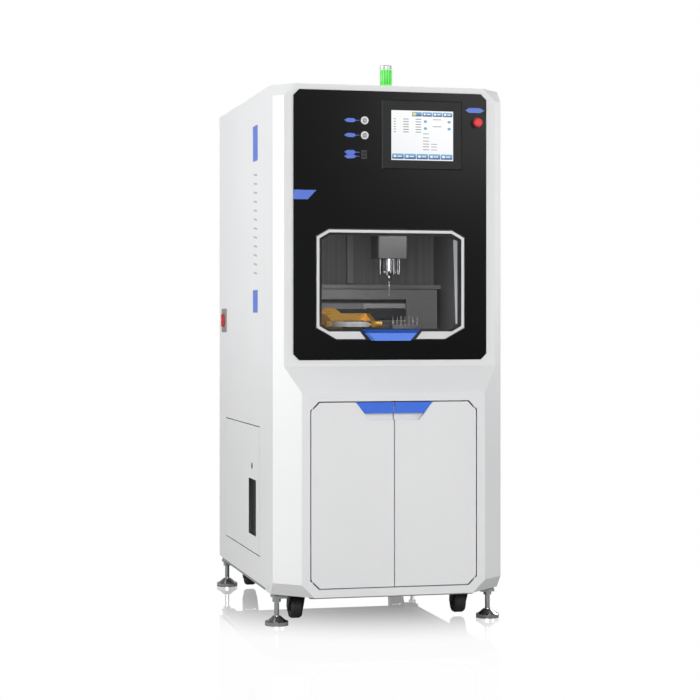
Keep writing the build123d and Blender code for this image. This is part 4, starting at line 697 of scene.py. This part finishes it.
dress(finish_coat("chamber_coat", streaked), "chamber_tub")
housing_grey = sprayed((0.055, 0.055, 0.056), (0.075, 0.075, 0.076), 0.5, 9.0, 700.0, 0.2)
dress(finish_coat("housing_coat", housing_grey), "z_housing")
guard_grain = brushed((0.22, 0.22, 0.224), (0.38, 0.38, 0.384), 0.3, (0.02, 1, 1))
dress(finish_coat("brushed_stainless", guard_grain, Metallic=0.45), "way_cover", "tool_rack")
dress(finish_coat("cast_iron_coat", casting), "machine_bed", "gantry_bridge")
ground = brushed((0.55, 0.55, 0.56), (0.68, 0.68, 0.69), 0.22)
ground_steel = finish_coat("ground_steel", ground, Metallic=1.0)
dress(ground_steel, "axis_rails", "axis_drives", "tool_burs", "spindle_collet", "spindle_body")
ALONG_Y = (1, 0.02, 1)
milled = brushed((0.50, 0.51, 0.52), (0.62, 0.63, 0.64), 0.36, ALONG_Y)
dress(finish_coat("milled_aluminium", milled, Metallic=0.9), "x_carriage")
arm_black = brushed((0.02, 0.02, 0.022), (0.04, 0.04, 0.043), 0.36, ALONG_Y)
dress(finish_coat("black_anodised", arm_black, Metallic=0.4), "y_table")
gold = brushed((0.62, 0.33, 0.05), (0.78, 0.45, 0.10), 0.3, (0.03, 1, 1))
dress(finish_coat("gold_anodised", gold, Metallic=0.75), "tilt_cradle")
ring_white = sprayed((0.74, 0.74, 0.73), (0.82, 0.82, 0.81), 0.35, 15.0, 600.0, 0.1)
dress(finish_coat("ring_white", ring_white), "clamp_ring")


def zirconia(place):
    """A pressed blank: chalky white, a little ivory, with fine pores."""
    pores = place.noise(1500.0, detail=2.0)
    return {"Base Color": place.noise(12.0).tint((0.78, 0.76, 0.70), (0.86, 0.85, 0.80)),
            "Roughness": pores * 0.1 + 0.55, "Normal": pores.bump(0.15, 0.0002)}


dress(finish_coat("zirconia_blank", zirconia), "blank_disc")

# A lamp strip stands inside the chamber at the window's right, and lights the work. It is an opal diffuser,
# clipped to the tub's wall.
LAMP_LOW, LAMP_HIGH = 0.976, 1.252
LAMP_Y, LAMP_THICK = -0.450, 0.004
LAMP = ((0.2390, LAMP_LOW), (0.2444, LAMP_LOW), (0.2444, LAMP_HIGH), (0.2307, LAMP_HIGH))
lamp_light = lit("lamp_diffuser", (0.62, 0.64, 0.66), (0.42, 0.43, 0.45), LAMP_LOW, LAMP_HIGH, 1.0)
skin("chamber_lamp", [slab(LAMP, LAMP_Y, LAMP_Y + LAMP_THICK)], "cabinet", lamp_light)


# The rotary arm comes through a slot in the guard's plate. A brushed steel frame is riveted round the slot,
# and a black rubber wiper in it keeps the dust back; its black is also painted shade for the slot's depth.
def rim(outer, inner, front, back):
    """A flat frame in the XZ plane between two outlines of as many points, from the front to the back."""
    rows = []
    for outline, y in ((inner, front), (outer, front), (outer, back), (inner, back), (inner, front)):
        outline = np.asarray(outline, float)
        rows.append(np.stack((outline[:, 0], np.full(len(outline), y), outline[:, 1]), -1))
    return np.array(rows)


def rectangle(x0, x1, z0, z1):
    """Four points round from the lower left."""
    return ((x0, z0), (x1, z0), (x1, z1), (x0, z1))


PLATE_FACE = -0.096
FRAME_THICK, WIPER_PROUD, WIPER_DEEP = 0.0016, 0.0002, 0.0014
SLOT_FRAME = rectangle(0.013, 0.1618, 0.9835, 1.0455)
SLOT = rectangle(0.0225, 0.160, 0.9885, 1.0295)
ARM_WAY = rectangle(0.0385, 0.1415, 0.9925, 1.0275)
frame_grain = brushed((0.40, 0.40, 0.405), (0.54, 0.54, 0.545), 0.34, (0.05, 1, 1))
frame_steel = finish_coat("slot_frame_steel", frame_grain, Metallic=0.3)
slot_frame = rim(SLOT_FRAME, SLOT, PLATE_FACE - FRAME_THICK, PLATE_FACE)
skin("slot_frame", [slot_frame], "cabinet", frame_steel)
# Painted shade in part: the black wiper also stands for the shade deep in the slot.
slot_wiper_and_shade = rim(SLOT, ARM_WAY, PLATE_FACE - WIPER_PROUD, PLATE_FACE + WIPER_DEEP)
skin("slot_wiper_and_shade", [slot_wiper_and_shade], "cabinet", black_nylon)

# Five steel air nozzles hang from the spindle's housing, round the spindle, and blow the dust off the work.
# The burs in the rack carry orange plastic rings, pressed on their shanks.
SPINDLE_X, SPINDLE_Y = 0.066, -0.240
NOZZLE_SPOTS = ((-0.034, -0.012), (-0.016, -0.031), (0.008, -0.034), (0.032, -0.015), (0.034, 0.012))
NOZZLE_BORE, NOZZLE_RADIUS = 0.0005, 0.0022
NOZZLE_TIP, NOZZLE_TOP = 1.142, 1.196
BUR_FIRST, BUR_PITCH, BUR_Y = 0.080, 0.014, -0.240
BUR_COUNT = 7
BUR_COLLAR, RING_OUT = 0.00305, 0.0037
RING_LOW, RING_HIGH = 0.9744, 0.9768
hoop_turn = np.linspace(0, 2 * math.pi, 20, endpoint=False)


def hoop(x, y, inner_r, outer_r, low, high):
    """A square-edged hoop round an upright axis: one ring of a radius and a height for each of its edges."""
    rows = []
    for radius, z in ((inner_r, low), (outer_r, low), (outer_r, high), (inner_r, high), (inner_r, low)):
        rows.append(np.stack((x + radius * np.cos(hoop_turn), y + radius * np.sin(hoop_turn),
                              np.full_like(hoop_turn, z)), -1))
    return np.array(rows)


nozzles = [hoop(SPINDLE_X + x, SPINDLE_Y + y, NOZZLE_BORE, NOZZLE_RADIUS, NOZZLE_TIP, NOZZLE_TOP)
           for x, y in NOZZLE_SPOTS]
skin("air_nozzles", nozzles, "z_head", ground_steel)
ring_orange = sprayed((0.40, 0.09, 0.02), (0.55, 0.14, 0.04), 0.4, 150.0, 900.0, 0.05)
orange_plastic = finish_coat("ring_orange", ring_orange)
rings = [hoop(BUR_FIRST + k * BUR_PITCH, BUR_Y, BUR_COLLAR, RING_OUT, RING_LOW, RING_HIGH)
         for k in range(BUR_COUNT)]
skin("bur_rings", rings, "cabinet", orange_plastic)

# The dust collector, its duct and the control box stand in the rear bay: a moulded tank in matt grey, a
# bent aluminium tube up to the chamber, and a folded steel box in a pale textured coat.
collector_grey = sprayed((0.22, 0.24, 0.27), (0.27, 0.29, 0.32), 0.45, 5.0, 600.0, 0.2)
dress(finish_coat("collector_coat", collector_grey), "dust_collector")
duct_grain = brushed((0.50, 0.50, 0.51), (0.62, 0.62, 0.63), 0.35)
dress(finish_coat("duct_aluminium", duct_grain, Metallic=0.9), "suction_duct")
control_grey = sprayed((0.50, 0.51, 0.50), (0.56, 0.57, 0.56), 0.45, 4.0, 500.0, 0.15)
dress(finish_coat("control_coat", control_grey), "control_box")

# The signal tower has a base and a lid of satin aluminium round a green lens, which is moulded in upright
# flutes and lit from within. The flutes' crowns are painted paler than their grooves, a painted highlight.
tower_silver = sprayed((0.55, 0.56, 0.57), (0.64, 0.65, 0.66), 0.3, 30.0, 900.0, 0.05)
dress(finish_coat("tower_silver", tower_silver, Metallic=0.4), "tower_housing")
lens_low, lens_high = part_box("tower_lens")
LENS_X = (lens_low[0] + lens_high[0]) / 2
LENS_Y = (lens_low[1] + lens_high[1]) / 2
LENS_RADIUS = (lens_high[0] - lens_low[0]) / 2
LENS_WALL = 0.0028
BAND, BAND_END = 0.003, 0.004
FLUTES, FLUTE_DEPTH = 22, 0.0009
lens_turn = np.linspace(0, 2 * math.pi, FLUTES * 8, endpoint=False)


def lens_row(radius, z, depth):
    """A ring of the lens: the radius falls to a groove between flutes as the turn's cosine does."""
    fluted = radius - depth * (0.5 - 0.5 * np.cos(FLUTES * lens_turn))
    return np.stack((LENS_X + fluted * np.cos(lens_turn), LENS_Y + fluted * np.sin(lens_turn),
                     np.full_like(lens_turn, z)), -1)


bottom, top = lens_low[2], lens_high[2]
lens_rows = [(LENS_RADIUS, bottom, 0), (LENS_RADIUS, bottom + BAND, 0),
             (LENS_RADIUS, bottom + BAND_END, FLUTE_DEPTH), (LENS_RADIUS, top - BAND_END, FLUTE_DEPTH),
             (LENS_RADIUS, top - BAND, 0), (LENS_RADIUS, top, 0), (LENS_RADIUS - LENS_WALL, top, 0),
             (LENS_RADIUS - LENS_WALL, bottom, 0), (LENS_RADIUS, bottom, 0)]


def lens_light(place):
    """Lit from within, with a painted highlight: the flutes' crowns are painted paler than their grooves."""
    away = from_axis(place, (-LENS_X, -LENS_Y, 0), (1, 1, 0))
    # Painted highlight: the crowns take a paler colour and glow than the grooves.
    crown_highlight = away.ramp(LENS_RADIUS - FLUTE_DEPTH, LENS_RADIUS)
    return {"Base Color": crown_highlight.tint((0.01, 0.22, 0.01), (0.10, 0.62, 0.08)),
            "Emission Color": crown_highlight.tint((0.01, 0.25, 0.01), (0.16, 0.85, 0.14)),
            "Roughness": place.noise(100.0) * 0.1 + 0.1}


lens = skin("lens_fluted", [np.array([lens_row(*row) for row in lens_rows])], "cabinet",
            finish_coat("lens_green", lens_light, **{"Emission Strength": 0.6}))
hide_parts("tower_lens")

# The levelling feet are turned and chromed. The casters have pressed forks, coated black, and wheels with
# a black rubber tread.
chrome = brushed((0.62, 0.62, 0.63), (0.72, 0.72, 0.73), 0.14, (1, 1, 0.1), 300.0)
dress(finish_coat("foot_chrome", chrome, Metallic=1.0), "levelling_feet")
fork_coat = sprayed((0.016, 0.016, 0.017), (0.024, 0.024, 0.025), 0.4, 20.0, 800.0, 0.15)
fork_black = finish_coat("fork_black", fork_coat)
tread_black = sprayed((0.012, 0.012, 0.012), (0.02, 0.02, 0.02), 0.6, 30.0, 900.0, 0.3)
wheel_tread = finish_coat("wheel_tread", tread_black)
for corner in ("front_left", "front_right", "rear_left", "rear_right"):
    dress(fork_black, "caster_fork_" + corner)
    dress(wheel_tread, "caster_wheel_" + corner)
